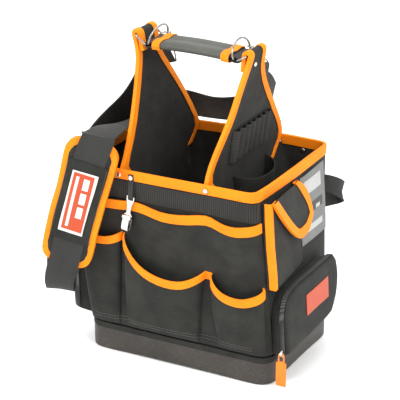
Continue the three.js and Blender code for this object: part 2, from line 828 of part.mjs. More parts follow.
function snapHook(name) {
  const held = hookedAt(name);
  const bar = strapBar(name);
  const way = V(bar.centre.x - held.x, bar.centre.y - held.y, 0).normalize();
  const side = V().crossVectors(up, way);
  const near = (ringWire + hookWire) / 2 + looseGap;
  const half = strapWidth / 2 + hookWire / 2 + looseGap;
  const flip = side.dot(bar.along) > 0 || Math.abs(side.dot(bar.along)) < 0.2 ? 1 : -1;
  const barEnd = (sign) => bar.centre.clone().addScaledVector(bar.along, sign * flip * half);
  const shoulder = (sign) => barEnd(sign).addScaledVector(bar.leaves, -2.4 * hookWire);
  const round = (sign, angle) => held.clone()
    .addScaledVector(way, -near * Math.cos(rad(angle)))
    .addScaledVector(side, sign * near * Math.sin(rad(angle)));
  const neck = (sign) => held.clone()
    .addScaledVector(way, near * 1.6)
    .addScaledVector(side, sign * near * 1.1)
    .add(V(0, 0, -1.5));
  const points = [
    round(-1, 0), round(1, 55), round(1, 100), neck(1),
    shoulder(1), barEnd(1), bar.centre.clone(), barEnd(-1), shoulder(-1),
    neck(-1), round(-1, 100), round(-1, 55),
  ];
  return loft(wireRings(points, hookWire), true);
}

// Rings of a round wire along a closed line that need not be flat.
function wireRings(points, diameter, sides = 6) {
  const count = points.length;
  const tangent = (i) => V().subVectors(points[(i + 1) % count], points[(i + count - 1) % count]).normalize();
  let side = V().crossVectors(tangent(0), wirePlane(points)).normalize();
  return points.map((point, i) => {
    const ahead = tangent(i);
    side = side.clone().addScaledVector(ahead, -side.dot(ahead)).normalize();
    const other = V().crossVectors(ahead, side);
    const turnBack = side.clone();
    return Array.from({ length: sides }, (_, k) => {
      const turn = (2 * Math.PI * k) / sides;
      return point.clone()
        .addScaledVector(turnBack, (Math.cos(turn) * diameter) / 2)
        .addScaledVector(other, (Math.sin(turn) * diameter) / 2);
    });
  });
}

// The strap's way round the bag from the right hook to the pad: centres as shares of half the
// rim's length and depth, of the bag's height and of the gables' rise, and the way of its width.
const strapBack = [
  { x: 0.365, y: 0.62, low: 1, high: 0.5, wx: -0.03, wy: 0.99, wz: -0.05 },
  { x: 0.36, y: 0.74, low: 1, high: 0.4, wx: -0.12, wy: 0.95, wz: 0.25 },
  { x: 0.293, y: 0.924, low: 1, high: 0.33, wx: -0.3, wy: 0.7, wz: 0.65 },
  { x: 0.173, y: 1.044, low: 1, high: 0.25, wx: -0.25, wy: 0.15, wz: 0.95 },
  { x: 0, y: 1.1, low: 1, high: 0.168, wx: -0.1, wy: -0.2, wz: 0.97 },
  { x: -0.4, y: 1.133, low: 1, high: 0.108, wx: 0, wy: -0.45, wz: 0.89 },
  { x: -0.767, y: 0.988, low: 1, high: 0.15, wx: 0.15, wy: -0.25, wz: 0.95 },
  { x: -0.92, y: 0.6, low: 1, high: 0.157, wx: 0.3, wy: -0.05, wz: 0.95 },
  { x: -0.887, y: 0.16, low: 1, high: 0.193, wx: 0.55, wy: 0, wz: 0.85 },
  { x: -0.82, y: -0.241, low: 1, high: 0.244, wx: 0.85, wy: -0.05, wz: 0.5 },
  { x: -0.793, y: -0.56, low: 1, high: 0.262, wx: 0.97, wy: -0.1, wz: 0.15 },
  { x: -0.767, y: -0.87, low: 1, high: 0.275, wx: 0.99, wy: -0.12, wz: -0.02 },
  { x: -0.76, y: -1.09, low: 1, high: 0.27, wx: 0.97, wy: -0.1, wz: -0.15 },
];

// The strap's way back up behind the pad to the left hook, in the same columns.
const strapReturn = [
  { x: -1.093, y: -1.35, low: 0.43, high: 0, wx: 1, wy: 0.15, wz: 0 },
  { x: -1.107, y: -1.321, low: 0.384, high: 0, wx: 1, wy: 0.12, wz: 0 },
  { x: -1.117, y: -1.277, low: 0.366, high: 0, wx: 1, wy: 0.1, wz: 0 },
  { x: -1.13, y: -1.229, low: 0.381, high: 0, wx: 1, wy: 0.12, wz: 0 },
  { x: -1.153, y: -1.181, low: 0.44, high: 0, wx: 1, wy: 0.2, wz: 0 },
  { x: -1.18, y: -1.092, low: 0.546, high: 0, wx: 0.9, wy: 0.4, wz: 0 },
  { x: -1.19, y: -0.964, low: 0.656, high: 0, wx: 0.6, wy: 0.8, wz: -0.1 },
  { x: -1.18, y: -0.76, low: 0.83, high: 0, wx: 0.1, wy: 0.93, wz: -0.35 },
  { x: -1.16, y: -0.562, low: 0.96, high: 0, wx: 0.02, wy: 0.9, wz: -0.45 },
  { x: -1.13, y: -0.386, low: 1, high: 0.09, wx: 0.02, wy: 0.85, wz: -0.5 },
  { x: -1.04, y: -0.177, low: 1, high: 0.193, wx: 0.15, wy: 0.65, wz: -0.75 },
  { x: -0.927, y: 0.08, low: 1, high: 0.324, wx: 0.2, wy: 0.55, wz: -0.8 },
  { x: -0.873, y: 0.321, low: 1, high: 0.483, wx: 0.3, wy: 0.4, wz: -0.87 },
  { x: -0.827, y: 0.434, low: 1, high: 0.62, wx: 0.35, wy: 0.25, wz: -0.9 },
];

const tableStation = (row) => ({
  centre: reach(row.x, row.y, row.low, row.high),
  across: V(row.wx, row.wy, row.wz).normalize(),
});

// The strap's way down the pad: the share of the pad's length, the distance aside as a share of its
// width, the height over its tape and the turn about its length in degrees.
const strapDown = [
  { share: -0.06, aside: 0.06, lift: 1.5, turn: -8 },
  { share: 0.06, aside: 0.02, lift: 1, turn: 0 },
  { share: 0.16, aside: 0, lift: 0.1, turn: 0 },
  { share: 0.5, aside: 0, lift: 0, turn: 0 },
  { share: 0.9, aside: 0, lift: 0.3, turn: 0 },
  { share: 1, aside: 0, lift: 1.2, turn: 0 },
];

// The strap's end, folded round a hook's bar and lying back along itself.
function strapEnd(name) {
  const { centre, along, leaves } = strapBar(name);
  const wrap = hookWire / 2 + looseGap + webbingThickness / 2;
  const side = V().crossVectors(leaves, along).normalize();
  const sign = name === 'right' ? -1 : 1;
  const at = (forward, sideways) => ({
    centre: centre.clone().addScaledVector(leaves, forward).addScaledVector(side, sign * sideways),
    across: along.clone(),
  });
  const lap = (webbingThickness + gap) / 2 + 0.2;
  const round = [-90, -45, 0, 45, 90].map(rad)
    .map((turn) => at(-wrap * Math.cos(turn), wrap * Math.sin(turn)));
  return [at(24, -lap), at(12, -lap), ...round, at(12, lap), at(24, lap)];
}

function buildStrap() {
  const bound = padThickness / 2 + gap + tapeThickness;
  const overPad = bound + gap + webbingThickness / 2;
  const alongPad = strapDown.map(({ share, aside, lift, turn }) => ({
    centre: onPad(share * padLength, aside * padWidth, overPad + lift),
    across: padAcross.clone().applyAxisAngle(padWay, rad(turn)),
  }));
  const hookWay = [...strapBack, ...strapReturn].map(tableStation);
  hookWay.splice(strapBack.length, 0, ...alongPad);
  const right = strapEnd('right');
  const left = strapEnd('left');
  const middle = smoothStations([right[right.length - 1], ...hookWay, left[left.length - 1]], 88);
  const stations = [...right.slice(0, -1), ...middle, ...left.slice(0, -1).reverse()];
  piece('shoulder_strap', ribbon(stations, strapWidth, webbingThickness), 'webbing');
  piece('snap_hook_right', snapHook('right'), 'darkMetal');
  piece('snap_hook_left', snapHook('left'), 'darkMetal');
}

// Front pockets

// Places along the front as shares of half its length: the tacks of the rib band and the upper
// pocket, and the left and right edge of each lower pocket at its mouth and at its foot.
const frontTacks = [-0.3, 0.46];
const spanSags = [3, 8, 8];
const pockets = [
  {
    name: 'pocket_left', depth: pocketDepthLeft, mouth: [-0.95, -0.475], foot: [-0.93, -0.6],
    heights: [199, 205], sag: 7,
  },
  {
    name: 'pocket_middle', depth: pocketDepthMiddle, mouth: [-0.448, 0.435], foot: [-0.52, 0.25],
    heights: [204, 168], sag: 36,
  },
  {
    name: 'pocket_right', depth: pocketDepthRight, mouth: [0.462, 0.95], foot: [0.46, 0.93],
    heights: [168, 156], sag: 18,
  },
];

// The share of its height up to which the upper pocket lies flat on the wall, and the share of its
// outer spans that lies on the corners.
const upperFlat = 0.82;
const cornerPart = 0.2;

// Columns along the front: the distance from the middle at a height, the span between two tacks
// and the share of that span.
function frontColumns() {
  const ends = [
    (z) => -straightFront(z),
    (z) => frontTacks[0] * halfLength(z),
    (z) => frontTacks[1] * halfLength(z),
    (z) => straightFront(z),
  ];
  const flatParts = [[cornerPart, 1], [0, 1], [0, 1 - cornerPart]];
  const flat = [0, 1, 2].flatMap((span) => [0, 0.25, 0.5, 0.75].map((share) => ({
    distance: (z) => lerp(ends[span](z), ends[span + 1](z), share),
    span,
    along: lerp(...flatParts[span], share),
  })));
  const corner = (side, facet) => ({
    distance: (z) => side * (straightFront(z) + facet * facetLength(z)),
    span: side < 0 ? 0 : 2,
    along: side < 0 ? cornerPart * (1 - facet / cornerFacets) : 1 - cornerPart * (1 - facet / cornerFacets),
  });
  const facets = Array.from({ length: cornerFacets }, (_, i) => i + 1);
  return [
    ...facets.slice().reverse().map((facet) => corner(-1, facet)),
    ...flat,
    corner(1, 0),
    ...facets.map((facet) => corner(1, facet)),
  ];
}

// How far the upper pocket stands off the wall, and the height of its mouth.
function upperOff(column, z) {
  const rise = clamp((z / upperMouth - upperFlat) / (1 - upperFlat), 0, 1);
  return upperBulge * Math.sin(Math.PI * column.along) * rise;
}

const upperMouthAt = (column) => upperMouth - spanSags[column.span] * Math.sin(Math.PI * column.along);

const panelOff = gap;
const panelFace = panelOff + clothThickness;

function buildUpperFront() {
  const columns = frontColumns();
  const ribRow = (z, off) => columns.map((column) => alongFront(column.distance(z), z, off));
  piece('rib_band', shell([ribTop - ribHeight, ribTop].map((z) => ({
    out: ribRow(z, gap + clothThickness),
    in: ribRow(z, gap),
  }))), 'cloth');

  const levels = [
    () => pocketFoot,
    () => upperMouth * upperFlat,
    (mouth) => mouth - tapeWidth,
    (mouth) => mouth,
  ];
  const line = (height, extra) => columns.map((column) => {
    const z = height(upperMouthAt(column));
    return alongFront(column.distance(z), z, panelOff + extra + upperOff(column, z));
  });
  piece('upper_pocket', shell(levels.map((height) => ({
    out: line(height, clothThickness),
    in: line(height, 0),
  }))), 'cloth');

  const low = (mouth) => mouth - tapeWidth;
  const top = (mouth) => mouth;
  const lift = (points, distance) => points.map((p) => p.add(V(0, 0, distance)));
  const near = clothThickness + gap;
  const far = near + tapeThickness;
  piece('upper_pocket_binding', shell([
    { out: line(low, far), in: line(low, near) },
    { out: lift(line(top, far), gap + tapeThickness), in: lift(line(top, near), gap) },
    { out: lift(line(top, 0), gap + tapeThickness), in: lift(line(top, 0), gap) },
  ]), 'tape');
}

const pocketSteps = 12;
const pocketBase = panelFace + gap;

// The rounded half tube of a lower pocket: its place along the front and its distance off the
// panel at an angle round it, at a share of its height.
function pocketPoint(pocket, angle, z, grow) {
  const mouthLevel = Math.max(...pocket.heights);
  const rise = clamp((z - pocketFoot) / (mouthLevel - pocketFoot), 0, 1);
  const left = lerp(pocket.foot[0], pocket.mouth[0], rise);
  const right = lerp(pocket.foot[1], pocket.mouth[1], rise);
  const halfWidth = ((right - left) / 2) * frontReach(z) + grow;
  const thin = clothThickness + 2 * gap;
  const swell = Math.min(1, 0.25 + rise * 1.6) ** 0.8;
  const depth = thin + (pocket.depth - thin) * swell * clamp((z - pocketFoot) / 14, 0, 1) + grow;
  const blunt = (value) => Math.sign(value) * Math.abs(value) ** 0.75;
  const across = -blunt(Math.cos(angle)) * halfWidth;
  const middle = ((left + right) / 2) * frontReach(z);
  return alongFront(middle + across, z, pocketBase + blunt(Math.sin(angle)) * depth);
}

// The height of a lower pocket's mouth at an angle round the pocket.
function pocketMouth(pocket, angle) {
  const along = (1 - Math.cos(angle)) / 2;
  const [left, right] = pocket.heights;
  return lerp(left, right, along) - pocket.sag * Math.sin(Math.PI * along) ** 0.9;
}

function buildLowerPockets() {
  const angles = Array.from({ length: pocketSteps + 1 }, (_, i) => (Math.PI * i) / pocketSteps);
  const shares = [0, 0.06, 0.12, 0.3, 0.6, 1];
  pockets.forEach((pocket) => {
    const level = (share, grow) => angles.map((angle) => {
      const mouth = pocketMouth(pocket, angle);
      const z = share === 'mouth' ? mouth : lerp(pocketFoot, mouth - pocketTape, share);
      return pocketPoint(pocket, angle, z, grow);
    });
    piece(pocket.name, shell([...shares, 'mouth'].map((share) => ({
      out: level(share, 0),
      in: level(share, -clothThickness),
    }))), 'cloth');
  });

  const line = (drop, grow, raise) => pockets.flatMap((pocket) => angles.map((angle) => {
    const z = pocketMouth(pocket, angle) - drop;
    return pocketPoint(pocket, angle, z, grow).add(V(0, 0, raise));
  }));
  const far = gap + tapeThickness;
  piece('lower_pocket_binding', shell([
    { out: line(pocketTape, far, 0), in: line(pocketTape, gap, 0) },
    { out: line(0, far, far), in: line(0, gap, gap) },
    { out: line(0, -clothThickness / 2, far), in: line(0, -clothThickness / 2, gap) },
  ]), 'tape');
}

// Right side

// Columns of the tall side pocket from its front gusset to its rear edge: the place as a share of
// half the rim's depth, how far it stands off as a share of the pocket's depth, and the height of
// its mouth as a share of the pocket's top.
const sidePocketColumns = [
  { y: -0.87, off: 0, mouth: 1 },
  { y: -0.87, off: 1, mouth: 1 },
  { y: -0.72, off: 0.98, mouth: 0.945 },
  { y: -0.5, off: 0.84, mouth: 0.91 },
  { y: -0.25, off: 0.6, mouth: 0.885 },
  { y: -0.04, off: 0.3, mouth: 0.87 },
  { y: 0.08, off: 0, mouth: 0.865 },
];

function buildSidePocket() {
  const place = (column, level) => lerp(sidePocketFoot, sidePocketTop * column.mouth, level);
  const line = (level, face, inward) => sidePocketColumns.map((column, i) => {
    const off = i === 0 ? 2 * gap : gap + column.off * sidePocketDepth + face;
    const y = (column.y * rimDepth) / 2 + (i < 2 ? inward : 0);
    return onSide(1, y, place(column, level), off);
  });
  piece('side_pocket', shell([0, 0.5, 1].map((level) => ({
    out: line(level, clothThickness, 0),
    in: line(level, 0, clothThickness),
  }))), 'cloth');

  const ridgeY = (sidePocketColumns[1].y * rimDepth) / 2;
  const ridgeOff = gap + sidePocketDepth + clothThickness;
  const ridge = (z, distance) => [
    onSide(1, ridgeY - distance, z, ridgeOff - ridgeTapeFront),
    onSide(1, ridgeY - distance, z, ridgeOff + distance),
    onSide(1, ridgeY + ridgeTapeSide, z, ridgeOff + distance),
  ];
  piece('side_pocket_binding', shell([sidePocketFoot, sidePocketTop].map((z) => ({
    out: ridge(z, gap + tapeThickness),
    in: ridge(z, gap),
  }))), 'tape');
}

// Levels down the flap: the height as a share of the bag's, and the front and rear edge as shares
// of half the rim's depth.
const flapLevels = [
  { height: 0.952, front: -0.86, rear: -0.03 },
  { height: 0.9, front: -0.775, rear: 0.15 },
  { height: 0.815, front: -0.59, rear: 0.29 },
  { height: 0.74, front: -0.42, rear: 0.3 },
  { height: 0.7, front: -0.3, rear: 0.17 },
  { height: 0.683, front: -0.18, rear: 0.05 },
];

// The flap is a flat sheet from the pocket's ridge to the wall: how far it stands off the wall.
function flapOff(y, z) {
  const overRidge = sidePocketDepth + clothThickness + 2 * tapeThickness + 2 * gap + 2 * looseGap;
  const top = flapLevels[0];
  const tip = flapLevels[flapLevels.length - 1];
  const along = (share) => (share * rimDepth) / 2;
  const backward = (flapOffRear - overRidge) / (along(top.rear) - along(top.front));
  const tipY = along((tip.front + tip.rear) / 2);
  const atTop = (place) => overRidge + backward * (place - along(top.front));
  const upward = (atTop(tipY) - flapOffTip) / ((top.height - tip.height) * bagHeight);
  return atTop(y) + upward * (z - top.height * bagHeight);
}

function buildFlap() {
  const edges = (level) => [level.front, level.rear].map((share) => (share * rimDepth) / 2);
  const point = (y, z, extra) => onSide(1, y, z, flapOff(y, z) + extra);
  piece('side_flap', shell(flapLevels.map((level) => {
    const line = (extra) => edges(level).map((y) => point(y, level.height * bagHeight, extra));
    return { out: line(flapThickness), in: line(0) };
  })), 'cloth');

  const corner = (level, end) => ({ y: edges(level)[end], z: level.height * bagHeight, end });
  const edge = [
    ...flapLevels.map((level) => corner(level, 0)),
    ...flapLevels.slice().reverse().map((level) => corner(level, 1)),
  ];
  const near = looseGap;
  const far = looseGap + tapeThickness;
  const rows = edge.map(({ y, z, end }, i) => {
    const [before, after] = [edge[Math.max(i - 1, 0)], edge[Math.min(i + 1, edge.length - 1)]];
    const atTop = i === 0 || i === edge.length - 1;
    const run = V(0, after.y - before.y, after.z - before.z).normalize();
    const way = atTop ? V(0, 0, end === 0 ? -1 : 1) : run;
    const spot = (distance, extra) => point(y + way.z * distance, z - way.y * distance, extra);
    return {
      out: [spot(-tapeWidth, flapThickness + far), spot(far, flapThickness + far),
        spot(far, -far), spot(-tapeWidth, -far)],
      in: [spot(-tapeWidth, flapThickness + near), spot(near, flapThickness + near),
        spot(near, -near), spot(-tapeWidth, -near)],
    };
  });
  piece('side_flap_binding', shell(rows), 'tape');
}

function buildLabelPanel() {
  const labelFront = 0.12 * halfDepth(labelPanelTop);
  const panelLine = (z, off) => [0, 1]
    .map((share) => onSide(1, labelFront + share * labelPanelWidth, z, off));
  piece('label_panel', shell([labelPanelTop - labelPanelHeight, labelPanelTop].map((z) => ({
    out: panelLine(z, gap + labelThickness),
    in: panelLine(z, gap),
  }))), 'greyLabel');
}

// Zip pockets

// Corners of a zip pocket's outline: the sides on which each lies and its radius as a share of the
// pocket's height. The lower rear corner is cut away the most.
const zipCorners = [
  { y: 1, z: -1, start: -90, radius: 0.55 },
  { y: 1, z: 1, start: 0, radius: 0.2 },
  { y: -1, z: 1, start: 90, radius: 0.36 },
  { y: -1, z: -1, start: 180, radius: 0.06 },
];

// The outline of a zip pocket on a side wall at a share of its depth, shrunk by a distance.
function zipOutline(side, share, shrink, off) {
  const swell = zipPocketSwell * Math.min(share * 1.6, 1) - shrink;
  const half = zipPocketWidth / 2 + swell;
  const low = zipPocketFoot + zipPocketRaise * share + shrink;
  const high = zipPocketFoot + zipPocketHeight + swell;
  return zipCorners.flatMap((corner) => Array.from({ length: 4 }, (_, k) => {
    const turn = rad(corner.start + 30 * k);
    const radius = Math.max(corner.radius * zipPocketHeight - shrink, 1);
    const y = corner.y * (half - radius) + radius * Math.cos(turn);
    const z = (corner.z > 0 ? high - radius : low + radius) + radius * Math.sin(turn);
    return onSide(side, zipPocketCentre + y, z, off);
  }));
}

// The zip's way from the lower rear corner up, over the top and down the front end.
function zipWay(side, raise, across) {
  const off = zipPocketDepth * zipperOut + across;
  return zipOutline(side, off / zipPocketDepth, -raise, off).slice(3, 13);
}

function buildZipPocket(name, side, sliderEnd) {
  const depth = zipPocketDepth;
  const thin = zipPocketWall;
  const rings = [
    zipOutline(side, 1, thin + 9, depth - thin),
    zipOutline(side, 0.95, thin + 2.5, depth - thin - 2),
    zipOutline(side, 0.75, thin, depth * 0.75),
    zipOutline(side, 0.4, thin, depth * 0.4),
    zipOutline(side, 0, thin, gap),
    zipOutline(side, 0, 0, gap),
    zipOutline(side, 0.4, 0, depth * 0.4),
    zipOutline(side, 0.75, 0, depth * 0.75),
    zipOutline(side, 0.95, 2, depth - 2),
    zipOutline(side, 1, 9, depth),
  ];
  piece(`zip_pocket_${name}`, loft(rings), 'cloth');

  const near = zipWay(side, 2 * gap, -zipperWidth / 2);
  const rows = near.map((point, i) => ({
    out: [-0.5, 0.5].map((share) => zipWay(side, 2 * gap + zipperThickness, share * zipperWidth)[i]),
    in: [-0.5, 0.5].map((share) => zipWay(side, 2 * gap, share * zipperWidth)[i]),
  }));
  piece(`zipper_${name}`, shell(rows), 'webbing');

  const swell = zipPocketSwell + 2 * gap + zipperThickness + gap;
  const end = sliderEnd * (zipPocketWidth / 2 + swell);
  const lowCorner = zipCorners.find((corner) => corner.z < 0 && corner.y === sliderEnd);
  const pastCorner = Math.max(lowCorner.radius * zipPocketHeight - sliderLength / 2, 0);
  const foot = zipPocketFoot + zipPocketRaise + pastCorner + sliderLength / 2 - 1;
  const seat = onSide(side, zipPocketCentre + end, foot, depth * zipperOut);
  const eyeRadius = bailBar * 0.75 + gap;
  const rim = 1.3;
  const plate = 2.2;
  const pivotOut = plate + eyeRadius;
  const profile = new THREE.Shape([
    [0, -sliderLength / 2], [plate, -sliderLength / 2], [pivotOut + eyeRadius, -eyeRadius - rim],
    [pivotOut + eyeRadius + rim, -eyeRadius], [pivotOut + eyeRadius + rim, eyeRadius],
    [pivotOut + eyeRadius, eyeRadius + rim], [plate, sliderLength / 2], [0, sliderLength / 2],
  ].map(([out, z]) => new THREE.Vector2(out, z)));
  const eye = new THREE.Path();
  eye.absarc(pivotOut, 0, eyeRadius, 0, 2 * Math.PI, true);
  profile.holes.push(eye);
  const settings = { depth: sliderThickness, bevelEnabled: false, curveSegments: 6 };
  const slider = piece(`zip_slider_${name}`, solidOf(new THREE.ExtrudeGeometry(profile, settings)), 'nickel');
  placeProfile(slider, seat, sliderEnd, sliderThickness);

  const plateSettings = { depth: bailBar, bevelEnabled: false };
  const pullBody = solidOf(new THREE.ExtrudeGeometry(pullShape(), plateSettings));
  const pull = piece(`zip_pull_${name}`, pullBody, 'pull');
  pull.position.copy(seat).add(V(0, sliderEnd * pivotOut + bailBar / 2, 0));
  pull.rotation.set(Math.PI / 2, 0, 0);
}

// The flat outline of a zip pull: its bar at the origin, the bail's frame and the tab below it.
function pullShape() {
  const bar = bailBar / 2;
  const half = bailWidth / 2;
  const shoulder = -bailLength;
  const tabHalf = pullWidth / 2;
  const end = shoulder - pullLength;
  const shape = new THREE.Shape([
    [-half * 0.7, bar], [half * 0.7, bar], [half, -bar * 2], [half, shoulder + 1], [tabHalf, shoulder],
    [tabHalf, end + 1], [tabHalf - 1, end], [-tabHalf + 1, end], [-tabHalf, end + 1], [-tabHalf, shoulder],
    [-half, shoulder + 1], [-half, -bar * 2],
  ].map(([x, y]) => new THREE.Vector2(x, y)));
  const inner = half - bailBar;
  const [top, foot] = [-bar - 0.2, shoulder + 2.5];
  const window = [[-inner, top], [-inner, foot], [inner, foot], [inner, top]];
  shape.holes.push(new THREE.Path(window.map(([x, y]) => new THREE.Vector2(x, y))));
  return shape;
}

// Drops the normals and the seams of a built-in geometry, so that it is one closed body.
function solidOf(geometry) {
  geometry.deleteAttribute('normal');
  geometry.deleteAttribute('uv');
  return mergeVertices(geometry, 1e-4);
}

// Stands a profile drawn as outward distance and height on a zip's run, thick along X.
function placeProfile(mesh, seat, towards, thickness) {
  const basis = new THREE.Matrix4().makeBasis(V(0, towards, 0), up, V(towards, 0, 0));
  mesh.quaternion.setFromRotationMatrix(basis);
  mesh.position.copy(seat).add(V((-towards * thickness) / 2, 0, 0));
}

function buildZipPockets() {
  buildZipPocket('right', 1, -1);
  buildZipPocket('left', -1, 1);
  const middle = zipPocketFoot + zipPocketHeight * 0.65;
  const off = zipPocketDepth + gap;
  const line = (z, extra) => [-0.5, 0.5]
    .map((share) => onSide(1, share * zipLabelWidth, z, off + extra));
  piece('zip_pocket_label', shell([-0.5, 0.5].map((share) => {
    const z = middle + share * zipLabelHeight;
    return { out: line(z, labelThickness), in: line(z, 0) };
  })), 'label');
}

// Loops, sleeves and holster

// The hammer loop's way from the back wall out past the corner and back: the place as a share of
// half the rim's length, the distance off the wall and the height as a share of the bag's height.
const loopWay = [
  { x: 0.8, off: 1.5, height: 0.79 },
  { x: 0.88, off: 6, height: 0.785 },
  { x: 0.95, off: 16, height: 0.765 },
  { x: 0.985, off: 28, height: 0.735 },
  { x: 0.98, off: 36, height: 0.705 },
  { x: 0.93, off: 39, height: 0.682 },
  { x: 0.85, off: 31, height: 0.672 },
  { x: 0.77, off: 14, height: 0.672 },
  { x: 0.69, off: 1.5, height: 0.68 },
];

function buildLoops() {
  const touch = gap + webbingThickness / 2;
  const spot = (x, height, off) => ({
    centre: onBack(0, height * bagHeight, off).setX((x * rimLength) / 2),
    across: V(0, wallSlope, 1).normalize(),
  });
  const way = loopWay.map(({ x, height, off }) => spot(x, height, Math.max(off, touch)));
  const first = spot(loopWay[0].x - 0.14, loopWay[0].height, touch);
  const last = spot(loopWay[loopWay.length - 1].x - 0.14, loopWay[loopWay.length - 1].height, touch);
  const loop = [first, ...smoothStations(way, 20), last];
  piece('hammer_loop', ribbon(loop, loopWidth, webbingThickness), 'webbing');

  const pitch = sleevesWidth / sleeveCount;
  const lowEdge = bagHeight + 0.1 * (foldHeightRight - bagHeight);
  const sleeveRow = (z) => {
    const along = [];
    for (let i = 0; i < sleeveCount; i++) {
      [0, 0.12, 0.3, 0.5, 0.7, 0.88].forEach((share) => along.push({ i, share }));
    }
    along.push({ i: sleeveCount, share: 0 });
    const line = (thick) => along.map(({ i, share }) => {
      const y = -sleevesWidth / 2 + (i + share) * pitch;
      const puff = Math.sin(Math.PI * share) ** 0.6 * bitSleeveBulge;
      return onGable('right', y, z, gap + puff + thick);
    });
    return { out: line(1), in: line(0) };
  };
  const sleeveLevels = [0, 0.5, 1].map((share) => sleeveRow(lowEdge + share * bitSleeveHeight));
  piece('bit_sleeves', shell(sleeveLevels), 'webbing');

  const holsterTop = bagHeight * 0.965;
  const holsterRows = [0, 0.1, 0.5, 1].map((rise) => {
    const z = holsterTop - holsterHeight * (1 - rise);
    const width = holsterWidth * (0.72 + 0.28 * rise);
    const depth = holsterDepth * [0.12, 0.5, 0.8, 1][[0, 0.1, 0.5, 1].indexOf(rise)];
    const line = (shrink) => Array.from({ length: 13 }, (_, i) => {
      const turn = (Math.PI * i) / 12;
      const y = holsterWidth * 0.1 - Math.cos(turn) * (width / 2 - shrink);
      const drop = rise === 1 ? 8 * Math.sin(turn) : 0;
      const off = Math.sin(turn) ** 0.8 * (depth - shrink);
      return onGable('right', y, z - drop, gap).add(V(off, 0, 0));
    });
    return { out: line(0), in: line(clothThickness) };
  });
  piece('holster', shell(holsterRows), 'cloth');
}

// Rivets and the clip

// A low dome on the axis +Z, with its flat back at the origin.
function dome(diameter, height) {
  const radius = diameter / 2;
  const profile = [[0, 0], [radius, 0], [radius, height * 0.35], [radius * 0.75, height * 0.8], [0, height]]
    .map(([x, y]) => new THREE.Vector2(x, y));
  const geometry = new THREE.LatheGeometry(profile, 10).rotateX(Math.PI / 2);
  return solidOf(geometry);
}

function rivet(name, place, faceWay, finish = 'nickel') {
  const mesh = piece(name, dome(rivetDiameter, rivetHeight), finish);
  mesh.quaternion.setFromUnitVectors(up, faceWay.clone().normalize());
  mesh.position.copy(place);
}

const frontSlope = V(0, -1, -wallSlope).normalize();
const rimFace = 2 * gap + tapeThickness;

function buildRivets() {
  const rimZ = bagHeight - tapeWidth / 2;
  const offRim = rimFace;
  rivet('rivet_front_left', onFront(-0.47, rimZ, offRim), frontSlope);
  rivet('rivet_front_right', onFront(0.48, rimZ, offRim), frontSlope);
  const backZ = bagHeight - tapeWidth - rivetDiameter / 2 - looseGap;
  rivet('rivet_back', onBack(0.72, backZ, -wall - gap), V(0, -1, 0), 'darkMetal');
  const faceRight = onGable('right', 0, bagHeight + 1, 1).sub(onGable('right', 0, bagHeight + 1, 0));
  const bindingFace = 2 * gap + tapeThickness;
  const rearEdge = gableStations('right')[2].rear - tapeWidth * 0.45;
  const rearPlace = onGable('right', rearEdge, bagHeight - rivetDiameter, bindingFace);
  rivet('rivet_rear_right', rearPlace, faceRight, 'darkMetal');
  const high = lerp(bagHeight, foldHeightRight, 0.91);
  const faceHigh = onGable('right', 0, high, 1).sub(onGable('right', 0, high, 0));
  rivet('rivet_gable_right', onGable('right', tabCentreRight - 5, high, 2 * gap), faceHigh);
}

// A box between two corners as a closed geometry.
function block(low, high) {
  const size = V().subVectors(high, low);
  const middle = V().addVectors(low, high).multiplyScalar(0.5);
  return solidOf(new THREE.BoxGeometry(size.x, size.y, size.z)).translate(middle.x, middle.y, middle.z);
}

// A manifold solid of a closed geometry, and the geometry of a manifold solid.
function toSolid(geometry) {
  return new wasm.Manifold(new wasm.Mesh({
    numProp: 3,
    vertProperties: new Float32Array(geometry.attributes.position.array),
    triVerts: new Uint32Array(geometry.index.array),
  }));
}

function fromSolid(solid) {
  const mesh = solid.getMesh();
  const geometry = new THREE.BufferGeometry();
  geometry.setAttribute('position', new THREE.BufferAttribute(new Float32Array(mesh.vertProperties), 3));
  geometry.setIndex(new THREE.BufferAttribute(new Uint32Array(mesh.triVerts), 1));
  return mergeVertices(geometry, 1e-4);
}

